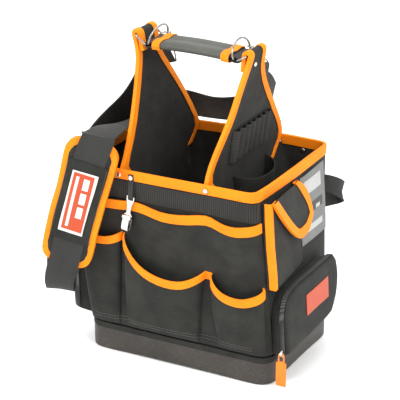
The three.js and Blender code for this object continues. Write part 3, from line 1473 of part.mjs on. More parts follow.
function buildClip() {
  const strapTop = bagHeight - tapeWidth * 0.55;
  const barZ = strapTop - 29;
  const place = (across, z, off) => {
    const base = onFront(-0.33, z, off);
    return base.add(V(across, 0, 0));
  };
  const strapRun = [
    { z: strapTop + 5, off: rimFace + clipStrapThickness * 0.5 },
    { z: strapTop - 5, off: rimFace + clipStrapThickness * 0.5 },
    { z: barZ + 5, off: clipStandOff - clipPlate / 2 - gap - clipStrapThickness / 2 },
    { z: barZ - 1.9, off: clipStandOff - clipPlate / 2 - gap - clipStrapThickness / 2 },
    { z: barZ - 3, off: clipStandOff },
    { z: barZ - 1.9, off: clipStandOff + clipPlate / 2 + gap + clipStrapThickness / 2 },
    { z: barZ + 5, off: clipStandOff + clipPlate / 2 + gap + clipStrapThickness / 2 },
    { z: strapTop - 5, off: rimFace + clipStrapThickness * 1.5 + gap },
    { z: strapTop + 5, off: rimFace + clipStrapThickness * 1.5 + gap },
  ];
  const stations = strapRun.map((row) => ({ centre: place(0, row.z, row.off), across: acrossX.clone() }));
  piece('clip_strap', ribbon(stations, clipStrapWidth, clipStrapThickness), 'webbing');
  rivet('clip_stud', place(0, strapTop, rimFace + 2 * clipStrapThickness + 2 * gap), frontSlope);

  const slotHalf = clipStrapWidth / 2 + looseGap;
  const bodyX = place(0, barZ, 0).x;
  const plateBack = onFront(0, barZ, clipStandOff).y + clipPlate / 2;
  const plateFront = plateBack - clipPlate;
  const flat = (points, holes = []) => {
    const shape = new THREE.Shape(points.map(([x, z]) => new THREE.Vector2(x, z)));
    holes.forEach((hole) => shape.holes.push(new THREE.Path(hole.map(([x, z]) => new THREE.Vector2(x, z)))));
    const geometry = solidOf(new THREE.ExtrudeGeometry(shape, { depth: clipPlate, bevelEnabled: false }));
    return geometry.rotateX(Math.PI / 2).translate(0, plateBack, 0);
  };
  const frame = slotHalf + 1.6;
  const half = clipWidth / 2;
  const plate = flat([
    [-frame, 1.2], [frame, 1.2], [frame, -7], [3.2, -12], [3.2, -clipDrop * 0.48], [half, -clipDrop * 0.56],
    [half, -clipDrop * 0.92], [half - 2, -clipDrop], [-half + 2, -clipDrop], [-half, -clipDrop * 0.92],
    [-half, -clipDrop * 0.56], [-3.2, -clipDrop * 0.48], [-3.2, -12], [-frame, -7],
  ], [[[-slotHalf, -0.9], [-slotHalf, -4.8], [slotHalf, -4.8], [slotHalf, -0.9]]]);
  const pinZ = -clipDrop * 0.6;
  const pinY = plateFront - 2.6;
  const ears = [-1, 1].map((side) => {
    const outer = side * half;
    const inner = side * (half - 1.3);
    return block(
      V(Math.min(inner, outer), pinY - 1.8, pinZ - 2.2),
      V(Math.max(inner, outer), plateBack - clipPlate / 2, pinZ + 2.2),
    );
  });
  const pin = solidOf(new THREE.CylinderGeometry(pinDiameter / 2, pinDiameter / 2, clipWidth - 0.6, 8))
    .rotateZ(Math.PI / 2).translate(0, pinY, pinZ);
  const body = [...ears, pin].reduce((solid, part) => solid.add(toSolid(part)), toSolid(plate));
  const lean = rad(clipLean);
  const hang = (geometry) => geometry.rotateY(lean).translate(bodyX, 0, barZ);
  piece('clip_body', hang(fromSolid(body)), 'nickel');

  const knuckle = pinDiameter / 2 + gap + 1;
  const jawFoot = -jawLength;
  const jaw = new THREE.Shape();
  jaw.absarc(0, 0, knuckle, rad(-70), rad(200), false);
  [[-knuckle - 0.2, -3], [-knuckle - 1.2, -8], [-knuckle - 1, jawFoot + 3], [-knuckle + 1, jawFoot],
    [2.6 - gap, jawFoot + 0.5], [2.6 - gap, jawFoot + 2], [-knuckle + 1.6, jawFoot + 3], [-0.4, -7]]
    .forEach(([y, z]) => jaw.lineTo(y, z));
  const bore = new THREE.Path();
  bore.absarc(0, 0, pinDiameter / 2 + gap, 0, 2 * Math.PI, true);
  jaw.holes.push(bore);
  const jawWidth = clipWidth - 2 * (1.3 + gap) - 0.2;
  const jawSettings = { depth: jawWidth, bevelEnabled: false, curveSegments: 6 };
  const jawGeometry = solidOf(new THREE.ExtrudeGeometry(jaw, jawSettings));
  const basis = new THREE.Matrix4().makeBasis(acrossY.clone(), up.clone(), acrossX.clone());
  jawGeometry.applyMatrix4(basis).translate(-jawWidth / 2, pinY, pinZ);
  piece('clip_jaw', hang(jawGeometry), 'nickel');
}

buildBase();
buildBody();
buildGables();
buildHandle();
buildPad();
buildStrap();
buildUpperFront();
buildLowerPockets();
buildSidePocket();
buildFlap();
buildLabelPanel();
buildZipPockets();
buildLoops();
buildRivets();
buildClip();

export default model;
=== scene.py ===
"""Looks of the hard-bottom tool bag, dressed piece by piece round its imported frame."""
import logging
import math
from dataclasses import dataclass, field
from enum import Enum
from typing import Any, Iterable

import bmesh
import bpy
from mathutils import Matrix, Vector, noise
from mathutils.bvhtree import BVHTree


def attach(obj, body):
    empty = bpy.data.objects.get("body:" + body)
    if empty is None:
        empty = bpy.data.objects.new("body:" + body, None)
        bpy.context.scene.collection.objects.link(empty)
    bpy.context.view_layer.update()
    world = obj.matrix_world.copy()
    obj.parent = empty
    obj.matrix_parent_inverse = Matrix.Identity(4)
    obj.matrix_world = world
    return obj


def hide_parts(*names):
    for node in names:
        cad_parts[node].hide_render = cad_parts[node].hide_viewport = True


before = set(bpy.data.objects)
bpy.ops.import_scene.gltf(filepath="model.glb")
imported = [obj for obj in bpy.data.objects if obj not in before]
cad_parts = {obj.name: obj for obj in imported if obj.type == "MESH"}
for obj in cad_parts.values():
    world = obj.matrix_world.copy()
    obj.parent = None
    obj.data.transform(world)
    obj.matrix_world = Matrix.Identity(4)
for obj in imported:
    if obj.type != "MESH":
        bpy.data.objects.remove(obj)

MM = 0.001
# Where the settling noise starts. Unseeded, the clock picks it, and each run differs.
SEED = 3
log = logging.getLogger("tool_bag")


# --- Small helpers ---------------------------------------------------------------------------

def mm(x: float, y: float, z: float) -> Vector:
    """A point given in millimetres, in metres."""
    return Vector((x, y, z)) * MM


def linear(code: str) -> tuple[float, float, float, float]:
    """Turns an sRGB hex colour to linear light.

    Args:
        code: The colour as "#rrggbb".

    Returns:
        Red, green, blue and alpha, linear.
    """
    shares = [int(code[i:i + 2], 16) / 255 for i in (1, 3, 5)]
    light = [s / 12.92 if s <= 0.04045 else ((s + 0.055) / 1.055) ** 2.4 for s in shares]
    return (*light, 1.0)


def add_node(tree: bpy.types.NodeTree, kind: str, inputs: dict[Any, Any] | None = None,
             **settings: Any) -> bpy.types.Node:
    """Adds one node, with its settings, its values and its links.

    Args:
        tree: The material's node tree.
        kind: The node's type name.
        inputs: Socket to value, or to the output socket that feeds it.
        settings: Properties of the node itself.

    Returns:
        The new node.
    """
    node = tree.nodes.new(kind)
    for key, value in settings.items():
        setattr(node, key, value)
    for socket, value in (inputs or {}).items():
        if isinstance(value, bpy.types.NodeSocket):
            tree.links.new(value, node.inputs[socket])
        else:
            node.inputs[socket].default_value = value
    return node


def bands_per_metre(spacing: float) -> float:
    """The Wave Texture scale that puts its bands the given number of millimetres apart."""
    return math.pi / (10 * spacing * MM)


def smooth_step(low: float, high: float, value: float) -> float:
    """Nought below low, one above high and an even S between them."""
    share = min(max((value - low) / (high - low), 0.0), 1.0)
    return share * share * (3 - 2 * share)


# --- Finishes --------------------------------------------------------------------------------

@dataclass(frozen=True)
class Finish:
    """One real finish: its colours, its gloss and the relief of its surface.

    Attributes:
        name: The material's name.
        colour: Its plain colour, as sRGB hex.
        worn_and_highlight: Its paler colour: rubbed pale in worn patches, and a painted highlight
            on the relief's tops.
        slot: The record's material slot; not used.
        roughness: The middle of its roughness.
        metallic: One for metal.
        sheen: The weight of its fibres' sheen.
        shine: Its specular level.
        relief: The strength of its bump.
        thread: The width of its thread, cord or grain in millimetres.
        patch: The size of its worn patches in millimetres.
        smear: The size of its uneven gloss in millimetres.
        uneven: How far its roughness goes up and down.
    """

    name: str
    colour: str
    worn_and_highlight: str
    slot: str
    roughness: float = 0.8
    metallic: float = 0.0
    sheen: float = 0.0
    shine: float = 0.5
    relief: float = 0.3
    thread: float = 1.6
    patch: float = 45
    smear: float = 18
    uneven: float = 0.08

    def material(self) -> bpy.types.Material:
        """The Blender material of this finish, made once."""
        found = bpy.data.materials.get(self.name)
        return found if found else self.make()

    def make(self) -> bpy.types.Material:
        """Builds the material's nodes.

        Returns:
            The new material.
        """
        made = bpy.data.materials.new(self.name)
        made.use_nodes = True
        tree = made.node_tree
        tree.nodes.clear()
        place = add_node(tree, "ShaderNodeTexCoord").outputs["Object"]
        shader = add_node(tree, "ShaderNodeBsdfPrincipled", {
            "Metallic": self.metallic, "Roughness": self.roughness, "Sheen Weight": self.sheen,
            "Sheen Roughness": 0.4, "Specular IOR Level": self.shine,
        })
        height = self.height(tree, place)
        bump = add_node(tree, "ShaderNodeBump", {
            "Height": height, "Strength": self.relief, "Distance": self.depth()})
        tree.links.new(bump.outputs["Normal"], shader.inputs["Normal"])
        tree.links.new(self.shade(tree, place, height), shader.inputs["Base Color"])
        tree.links.new(self.gloss(tree, place), shader.inputs["Roughness"])
        add_node(tree, "ShaderNodeOutputMaterial", {"Surface": shader.outputs["BSDF"]})
        return made

    def depth(self) -> float:
        """The relief's depth in metres."""
        return 0.3 * MM

    def height(self, tree: bpy.types.NodeTree, place: bpy.types.NodeSocket) -> bpy.types.NodeSocket:
        """The surface's relief: a fine even grain, unless the finish has its own."""
        grain = add_node(tree, "ShaderNodeTexNoise", {
            "Vector": place, "Scale": 1 / (self.thread * MM), "Detail": 3.0, "Roughness": 0.6})
        return grain.outputs["Fac"]

    def shade(self, tree: bpy.types.NodeTree, place: bpy.types.NodeSocket,
              height: bpy.types.NodeSocket) -> bpy.types.NodeSocket:
        """The colour: the plain one, worn paler in soft patches, and painted paler on the relief's
        tops as a highlight, which leaves the hollows in painted shade.

        Args:
            tree: The material's node tree.
            place: The object's own coordinates.
            height: The relief.

        Returns:
            The colour's socket.
        """
        patch = add_node(tree, "ShaderNodeTexNoise", {
            "Vector": place, "Scale": 1 / (self.patch * MM), "Detail": 4.0, "Roughness": 0.55})
        # Painted light: the paler colour follows the relief's height, a painted highlight on thread
        # and cord tops and painted shade in the grooves; the patch noise is real worn tone.
        share = add_node(tree, "ShaderNodeMath", {0: patch.outputs["Fac"], 1: height},
                         operation="MULTIPLY")
        ramp = add_node(tree, "ShaderNodeMapRange", {
            "Value": share.outputs[0], "From Min": 0.12, "From Max": 0.5})
        mix = add_node(tree, "ShaderNodeMix", {
            "Factor": ramp.outputs["Result"], 6: linear(self.colour), 7: linear(self.worn_and_highlight)},
            data_type="RGBA")
        return mix.outputs[2]

    def gloss(self, tree: bpy.types.NodeTree, place: bpy.types.NodeSocket) -> bpy.types.NodeSocket:
        """The roughness, a little uneven as handled surfaces are.

        Args:
            tree: The material's node tree.
            place: The object's own coordinates.

        Returns:
            The roughness's socket.
        """
        smear = add_node(tree, "ShaderNodeTexNoise", {
            "Vector": place, "Scale": 1 / (self.smear * MM), "Detail": 3.0})
        spread = add_node(tree, "ShaderNodeMapRange", {
            "Value": smear.outputs["Fac"], "To Min": max(self.roughness - self.uneven, 0.05),
            "To Max": min(self.roughness + self.uneven, 1.0)})
        return spread.outputs["Result"]


@dataclass(frozen=True)
class WovenCloth(Finish):
    """Coated polyester, plain woven: crossing threads, matt, with a faint sheen."""

    def height(self, tree: bpy.types.NodeTree, place: bpy.types.NodeSocket) -> bpy.types.NodeSocket:
        """Threads along each axis, broken up a little, and soft puckers between them.

        Args:
            tree: The material's node tree.
            place: The object's own coordinates.

        Returns:
            The relief's socket.
        """
        waves = [add_node(tree, "ShaderNodeTexWave", {
            "Vector": place, "Scale": bands_per_metre(self.thread), "Distortion": 0.6,
            "Detail": 1.0, "Detail Scale": 2.0}, bands_direction=axis).outputs["Fac"]
            for axis in ("X", "Y", "Z")]
        cross = add_node(tree, "ShaderNodeMath", {0: waves[0], 1: waves[1]}, operation="ADD")
        threads = add_node(tree, "ShaderNodeMath", {0: cross.outputs[0], 1: waves[2]},
                           operation="ADD")
        pucker = add_node(tree, "ShaderNodeTexNoise", {
            "Vector": place, "Scale": 1 / (24 * MM), "Detail": 2.0})
        mixed = add_node(tree, "ShaderNodeMath", {0: threads.outputs[0], 1: 0.12,
                                                   2: pucker.outputs["Fac"]},
                         operation="MULTIPLY_ADD")
        return mixed.outputs[0]

    def depth(self) -> float:
        """The relief's depth in metres: threads and puckers together."""
        return 0.9 * MM


class Ribs(Enum):
    """The way across which a ribbed cloth's cords follow each other."""

    ALONG_X = "X"
    ALONG_Y = "Y"
    ALONG_Z = "Z"
    SLANTED = "DIAGONAL"


@dataclass(frozen=True)
class RibbedCloth(Finish):
    """Elastic band, webbing or grosgrain: cords side by side, the light catching each one."""

    ribs: Ribs = Ribs.ALONG_X

    def height(self, tree: bpy.types.NodeTree, place: bpy.types.NodeSocket) -> bpy.types.NodeSocket:
        """Round cords, a rib apart, with a fine grain over them.

        Args:
            tree: The material's node tree.
            place: The object's own coordinates.

        Returns:
            The relief's socket.
        """
        wave = add_node(tree, "ShaderNodeTexWave", {
            "Vector": place, "Scale": bands_per_metre(self.thread), "Distortion": 0.5,
            "Detail": 1.0, "Detail Scale": 1.5}, bands_direction=self.ribs.value)
        grain = add_node(tree, "ShaderNodeTexNoise", {
            "Vector": place, "Scale": 1 / (1.2 * MM), "Detail": 2.0})
        mixed = add_node(tree, "ShaderNodeMath", {0: grain.outputs["Fac"], 1: 0.35,
                                                   2: wave.outputs["Fac"]},
                         operation="MULTIPLY_ADD")
        return mixed.outputs[0]

    def depth(self) -> float:
        """The cords' height in metres."""
        return 0.35 * self.thread * MM


@dataclass(frozen=True)
class MouldedPlastic(Finish):
    """Moulded plastic: a spark-eroded grain."""

    def height(self, tree: bpy.types.NodeTree, place: bpy.types.NodeSocket) -> bpy.types.NodeSocket:
        """Rounded grains, packed close."""
        cells = add_node(tree, "ShaderNodeTexVoronoi", {
            "Vector": place, "Scale": 1 / (self.thread * MM)}, feature="SMOOTH_F1")
        return cells.outputs["Distance"]


@dataclass(frozen=True)
class Plated(Finish):
    """Nickel plate over steel: mirror-like, faintly pitted and smeared."""

    def height(self, tree: bpy.types.NodeTree, place: bpy.types.NodeSocket) -> bpy.types.NodeSocket:
        """Shallow pits, far apart."""
        pits = add_node(tree, "ShaderNodeTexNoise", {
            "Vector": place, "Scale": 1 / (1.5 * MM), "Detail": 2.0})
        return pits.outputs["Fac"]


# Polyester woven of thick threads and coated inside: dark, matt, each thread catching the light.
CLOTH = WovenCloth("woven_polyester", "#191917", "#2b2b27", "cloth", 0.86, sheen=0.03, shine=0.35,
                   relief=0.55, thread=1.7)
# The same cloth over the shoulder pad: finer threads, drawn tight by the stuffing.
PAD_CLOTH = WovenCloth("padded_polyester", "#181816", "#2a2a26", "cloth", 0.84, sheen=0.03,
                       shine=0.35, relief=0.5, thread=1.5)
# Grosgrain binding tape: bright orange, fine cords across it, duller where it is folded.
TAPE = RibbedCloth("grosgrain_tape", "#f07a00", "#ff9200", "tape", 0.7, shine=0.3, relief=0.35,
                   thread=1.4, ribs=Ribs.SLANTED)
# Elastic ribbed band: deep upright cords three millimetres apart.
BAND = RibbedCloth("ribbed_elastic", "#0c0c0b", "#2a2a26", "cloth", 0.8, sheen=0.05, relief=0.9,
                   thread=3.2, ribs=Ribs.ALONG_X)
# Strap webbing: woven cords on the slant, slightly glossy from its tight weave.
WEBBING = RibbedCloth("strap_webbing", "#121211", "#2b2b28", "webbing", 0.72, sheen=0.08,
                      relief=0.6, thread=2.2, ribs=Ribs.SLANTED)
# Knitted elastic of the bit sleeves: cords level, one above the other.
SLEEVE = RibbedCloth("sleeve_elastic", "#181816", "#363632", "webbing", 0.8, relief=0.6,
                     thread=2.4, ribs=Ribs.ALONG_Z)
# Zip tape with its row of moulded teeth.
ZIP = RibbedCloth("zip_teeth", "#151515", "#4a4a4a", "webbing", 0.6, relief=0.9, thread=2.4,
                  ribs=Ribs.ALONG_Y)
# Polypropylene tray: brown-grey, moulded with a fine grain, scuffed paler on its edges.
TRAY = MouldedPlastic("moulded_polypropylene", "#2a2622", "#4a443c", "tray", 0.5, relief=0.25,
                      thread=1.3)
# Soft foam grip with a smooth skin: grey, satin.
GRIP = Finish("foam_grip_skin", "#3a3a35", "#54544c", "grip", 0.55, sheen=0.1, relief=0.15,
              thread=1.2)
# Moulded zip pull: orange, satin.
PULL = MouldedPlastic("moulded_zip_pull", "#ee7400", "#fb8c14", "pull", 0.4, relief=0.1,
                      thread=0.9)
# Bright nickel plate of the rivets, the clip and the sliders.
NICKEL = Plated("bright_nickel", "#c9c6c0", "#e4e2dd", "nickel", 0.22, metallic=1.0, relief=0.06,
                thread=1.5)
# Nickel-plated wire of the rings and hooks: a little darker and scratched.
WIRE = Plated("nickel_wire", "#8f8d89", "#b5b3ae", "darkMetal", 0.3, metallic=1.0, relief=0.1,
              thread=1.5)
# Woven label: orange-red satin threads.
LABEL = RibbedCloth("woven_label", "#b23c14", "#c24a20", "label", 0.6, sheen=0.2, relief=0.25,
                    thread=1.1, ribs=Ribs.ALONG_Z)
# The label's woven white parts.
LABEL_WHITE = RibbedCloth("woven_label_white", "#cfccc6", "#e0ddd8", "label", 0.6, sheen=0.2,
                          relief=0.25, thread=1.1, ribs=Ribs.ALONG_Z)
# Printed card of the side panel: grey, smooth.
CARD = MouldedPlastic("printed_card", "#5f615f", "#777976", "greyLabel", 0.45, relief=0.05,
                      thread=1.2)
CARD_PALE = MouldedPlastic("printed_card_pale", "#a9aaa8", "#bcbdba", "greyLabel", 0.45,
                           relief=0.05, thread=1.2)
CARD_DARK = MouldedPlastic("printed_card_dark", "#2c2c2c", "#3c3c3c", "greyLabel", 0.5,
                           relief=0.05, thread=1.2)
# Bonded polyester sewing thread, one dark and one orange.
THREAD = Finish("sewing_thread_dark", "#5a5a57", "#7a7a76", "webbing", 0.6, relief=0.2,
                thread=0.5)
THREAD_ORANGE = Finish("sewing_thread_orange", "#d06c08", "#ee8c20", "tape", 0.6, relief=0.2,
                       thread=0.5)


# --- Shaping ---------------------------------------------------------------------------------

# Places in millimetres that the cloth's settling leaves alone: the moving pieces' pivots.
STILL = [mm(-67, -133, 240), mm(172, -108, 59), mm(-175, 88, 105)]


@dataclass(frozen=True)
class Settling:
    """The slow bends that sewn cloth takes between its seams, the same for all that lies on it.

    Attributes:
        size: From one bend to the next, in metres.
        amount: How far a bend goes.
        calm: How far from a pivot the bends are whole.
        core: How far from a pivot there are none.
        base: The heights between which the bends begin, above the stiff tray.
        handle: The heights between which most of them end, below the handle.
        fine: The size of the small bends, as a share of the others'.
        fine_amount: How far a small bend goes, as a share.
    """

    size: float = 85 * MM
    amount: float = 2.6 * MM
    calm: float = 62 * MM
    core: float = 18 * MM
    base: tuple[float, float] = (44 * MM, 120 * MM)
    handle: tuple[float, float] = (400 * MM, 455 * MM)
    fine: float = 0.38
    fine_amount: float = 0.22

    def at(self, point: Vector) -> Vector:
        """How far the cloth has moved at a point.

        Args:
            point: The place in metres.

        Returns:
            The move in metres.
        """
        share = smooth_step(*self.base, point.z)
        share *= 1 - 0.75 * smooth_step(*self.handle, point.z)
        for still in STILL:
            share *= smooth_step(self.core, self.calm, (point - still).length)
        move = noise.noise_vector(point / self.size + Vector((3.1, 7.7, 1.9)))
        fine = noise.noise_vector(point / (self.size * self.fine) + Vector((11.3, 2.2, 5.1)))
        return (move * self.amount + fine * self.amount * self.fine_amount) * share


SETTLING = Settling()


@dataclass(frozen=True)
class Softness:
    """How a copied solid is rounded.

    Attributes:
        edge: The width of its rounded edges in metres.
        sharp: Edges that turn more than this many degrees are rounded first.
        levels: How many times it is subdivided.
        settles: Whether it bends with the cloth.
    """

    edge: float = 0.5 * MM
    sharp: float = 38
    levels: int = 1
    settles: bool = True


SHEET = Softness()
TRIM = Softness(edge=0.35 * MM)
ROUND = Softness(edge=0, levels=2)
STRAP = Softness(edge=0.5 * MM, sharp=50, levels=2)
RIGID = Softness(edge=0.4 * MM, sharp=35, levels=1, settles=False)


def new_object(name: str, mesh: bmesh.types.BMesh) -> bpy.types.Object:
    """Makes an object at the origin from a bmesh, and frees it.

    Args:
        name: The piece's name.
        mesh: Its bmesh.

    Returns:
        The object, linked to the scene.
    """
    data = bpy.data.meshes.new(name)
    mesh.to_mesh(data)
    mesh.free()
    made = bpy.data.objects.new(name, data)
    bpy.context.scene.collection.objects.link(made)
    return made


def solid_copy(node: str) -> bmesh.types.BMesh:
    """Copies a CAD node's mesh, with joined corners and four-sided faces.

    Args:
        node: The CAD node's name.

    Returns:
        The copy as a bmesh.
    """
    mesh = bmesh.new()
    mesh.from_mesh(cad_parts[node].data)
    bmesh.ops.remove_doubles(mesh, verts=mesh.verts, dist=2e-6)
    for layer in list(mesh.loops.layers.uv):
        mesh.loops.layers.uv.remove(layer)
    bmesh.ops.join_triangles(mesh, faces=mesh.faces, angle_face_threshold=math.radians(28),
                             angle_shape_threshold=math.radians(75))
    return mesh


def round_off(mesh: bmesh.types.BMesh, softness: Softness) -> None:
    """Bevels the edges that turn sharply.

    Args:
        mesh: The bmesh, changed in place.
        softness: How wide, and which edges.
    """
    if not softness.edge:
        return
    limit = math.radians(softness.sharp)
    edges = [e for e in mesh.edges if len(e.link_faces) == 2 and e.calc_face_angle() > limit]
    bmesh.ops.bevel(mesh, geom=edges, offset=softness.edge, offset_type="OFFSET", segments=2,
                    profile=0.5, affect="EDGES", clamp_overlap=True, material=-1)


def subdivided(name: str, mesh: bmesh.types.BMesh, levels: int) -> bpy.types.Object:
    """An object whose mesh is the bmesh after a number of subdivisions.

    Args:
        name: The piece's name.
        mesh: Its bmesh, freed here.
        levels: How many times each face is split.

    Returns:
        The object, with no live modifier.
    """
    piece = new_object(name, mesh)
    if levels:
        smooth = piece.modifiers.new("round", "SUBSURF")
        smooth.levels = smooth.render_levels = levels
        apply_modifiers(piece)
    return piece


def apply_modifiers(piece: bpy.types.Object) -> None:
    """Gives a piece the mesh that its modifiers make, and removes them.

    Args:
        piece: The piece, changed in place.
    """
    graph = bpy.context.evaluated_depsgraph_get()
    graph.update()
    data = bpy.data.meshes.new_from_object(piece.evaluated_get(graph))
    old = piece.data
    piece.modifiers.clear()
    piece.data = data
    bpy.data.meshes.remove(old)


def settle(piece: bpy.types.Object) -> None:
    """Moves each point of a piece as the cloth under it has moved.

    Args:
        piece: The piece, changed in place.
    """
    for vertex in piece.data.vertices:
        vertex.co += SETTLING.at(vertex.co)
    piece.data.update()


def tree_of(pieces: Iterable[bpy.types.Object]) -> BVHTree:
    """Gathers the faces of several pieces in one tree, for finding points on them.

    Args:
        pieces: The pieces, at the origin.

    Returns:
        The tree.
    """
    verts: list[Vector] = []
    faces: list[list[int]] = []
    for piece in pieces:
        base = len(verts)
        verts += [v.co.copy() for v in piece.data.vertices]
        faces += [[base + i for i in p.vertices] for p in piece.data.polygons]
    return BVHTree.FromPolygons(verts, faces)


def dress(piece: bpy.types.Object, finish: Finish, body: str,
          smooth: float = 50) -> bpy.types.Object:
    """Gives a piece its finish, its smooth faces and its body.

    Args:
        piece: The piece, in place.
        finish: What it is made of.
        body: The body that it moves with.
        smooth: Edges that turn more degrees than this stay crisp.

    Returns:
        The piece.
    """
    piece.data.materials.clear()
    piece.data.materials.append(finish.material())
    piece.data.shade_smooth()
    piece.data.set_sharp_from_angle(angle=math.radians(smooth))
    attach(piece, body)
    log.info("%s: %d faces, %s", piece.name, len(piece.data.polygons), finish.name)
    return piece


def stand_for(node: str, finish: Finish, softness: Softness,
              body: str = "bag") -> bpy.types.Object:
    """Makes the piece that is shown instead of a CAD node, rounded and settled.

    Args:
        node: The CAD node's name.
        finish: What the piece is made of.
        softness: How it is rounded.
        body: The body that it moves with.

    Returns:
        The piece.
    """
    mesh = solid_copy(node)
    round_off(mesh, softness)
    piece = subdivided(f"{node}_piece", mesh, softness.levels)
    if softness.settles:
        settle(piece)
    dress(piece, finish, body)
    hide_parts(node)
    return piece


# How far each printed or woven mark lies above its ground, in millimetres.
FIELD_LIFT, MARK_LIFT = 0.22, 0.42
STRIP_LIFT, BAR_LIFT = 0.25, 0.45


def print_on(name: str, mesh: bmesh.types.BMesh, thickness: float, finish: Finish) -> None:
    """Makes a mark that is printed on a label or woven in it.

    Args:
        name: The mark's name.
        mesh: Its surface as a bmesh, freed here.
        thickness: How thick it is, in metres.
        finish: What it is made of.
    """
    bmesh.ops.solidify(mesh, geom=mesh.faces[:], thickness=thickness)
    bmesh.ops.recalc_face_normals(mesh, faces=mesh.faces[:])
    dress(new_object(name, mesh), finish, "bag")


# --- Seams -----------------------------------------------------------------------------------

@dataclass
class Seam:
    """A row of stitches laid on pieces: each thread dips in and comes up again.

    Attributes:
        name: The name of the row's object.
        over: The pieces that it is sewn on.
        finish: The thread.
        pitch: From one stitch to the next, in metres.
        length: The length of a stitch's thread.
        width: The thickness of the thread.
        reach: How far off its row's points the surface may be.
        rows: The rows so far: the points of each, and the way that they drop.
    """

    name: str
    over: list[bpy.types.Object]
    finish: Finish = THREAD
    pitch: float = 4.4 * MM
    length: float = 3.3 * MM
    width: float = 0.62 * MM
    reach: float = 60 * MM
    rows: list[tuple[list[Vector], Vector]] = field(default_factory=list)

    def row(self, points: Iterable[Vector], cast: Vector) -> None:
        """Adds a row through points, each dropped on the pieces the way that cast says."""
        self.rows.append((list(points), cast.normalized()))

    def build(self, body: str = "bag") -> bpy.types.Object | None:
        """Lays the stitches.

        Args:
            body: The body that the row moves with.

        Returns:
            The row's object, or None if no point met a piece.
        """
        found = tree_of(self.over)
        mesh = bmesh.new()
        for points, cast in self.rows:
            hits = [found.ray_cast(p - cast * self.reach, cast, 2 * self.reach)
                    for p in spaced(points, self.pitch)]
            for here, after in zip(hits, hits[1:]):
                if here[0] and after[0] and (after[0] - here[0]).length < 2.2 * self.pitch:
                    self.stitch(mesh, here[0], after[0], here[1])
        if not mesh.verts:
            mesh.free()
            return None
        return dress(new_object(self.name, mesh), self.finish, body)

    def stitch(self, mesh: bmesh.types.BMesh, start: Vector, end: Vector, normal: Vector) -> None:
        """Adds one thread between two points of the surface.

        Args:
            mesh: The row's bmesh.
            start: Where the thread comes up.
            end: Where the next one comes up.
            normal: The surface's outward way.
        """
        along = (end - start).normalized()
        side = normal.cross(along).normalized()
        upward = along.cross(side)
        turn = Matrix((along, side, upward)).transposed().to_4x4()
        size = Matrix.Diagonal((self.length / 2, self.width / 2, self.width / 2, 1))
        centre = (start + end) / 2 + upward * self.width * 0.2
        bmesh.ops.create_uvsphere(mesh, u_segments=6, v_segments=4, radius=1,
                                  matrix=Matrix.Translation(centre) @ turn @ size
                                  @ Matrix.Rotation(math.pi / 2, 4, "Y"))


def spaced(points: list[Vector], pitch: float) -> list[Vector]:
    """Places points evenly along a line through the given ones.

    Args:
        points: The line's corners.
        pitch: From one placed point to the next, in metres.

    Returns:
        The placed points, the first corner among them.
    """
    placed = [points[0]]
    left = pitch
    for start, end in zip(points, points[1:]):
        length = (end - start).length
        done = left
        while done <= length:
            placed.append(start.lerp(end, done / length))
            done += pitch
        left = done - length
    return placed


# --- Sub-assemblies --------------------------------------------------------------------------

@dataclass
class Base:
    """The moulded tray and the welt that joins the cloth to it."""

    edge: float = 1.1 * MM

    def build(self) -> None:
        """Makes the tray and the welt."""
        stand_for("base_tray", TRAY, Softness(self.edge, 30, 1, False))
        stand_for("base_welt", CLOTH, SHEET)


@dataclass
class Walls:
    """The bag's open cloth box, its bound rim and its ribbed band.

    Attributes:
        level: The height of the rim's seam in millimetres.
        sides: Where its left and right rows are.
        depth: How far in front and behind its long rows are.
        ends: Where the long rows start and end.
        half: How far the side rows reach to front and back.
    """

    level: float = 291.6
    sides: tuple[float, float] = (-164, 136)
    depth: float = 122
    ends: tuple[float, float] = (-140, 118)
    half: float = 104

    def build(self) -> None:
        """Makes the walls, the rim's tape and the band."""
        shown = [stand_for("body_shell", CLOTH, SHEET), stand_for("rim_binding", TAPE, TRIM)]
        stand_for("rib_band", BAND, TRIM)
        self.sew(shown)

    def sew(self, shown: list[bpy.types.Object]) -> None:
        """Sews the rim's tape along its lower edge, outside.

        Args:
            shown: The walls and the tape.
        """
        seam = Seam("rim_seam", shown, THREAD_ORANGE)
        for sign in (-1, 1):
            seam.row([mm(x, sign * self.depth, self.level) for x in self.ends],
                     Vector((0, -sign, 0)))
        for x, inward in zip(reversed(self.sides), (-1, 1)):
            seam.row([mm(x, y, self.level) for y in (-self.half, self.half)],
                     Vector((inward, 0, 0)))
        seam.build()


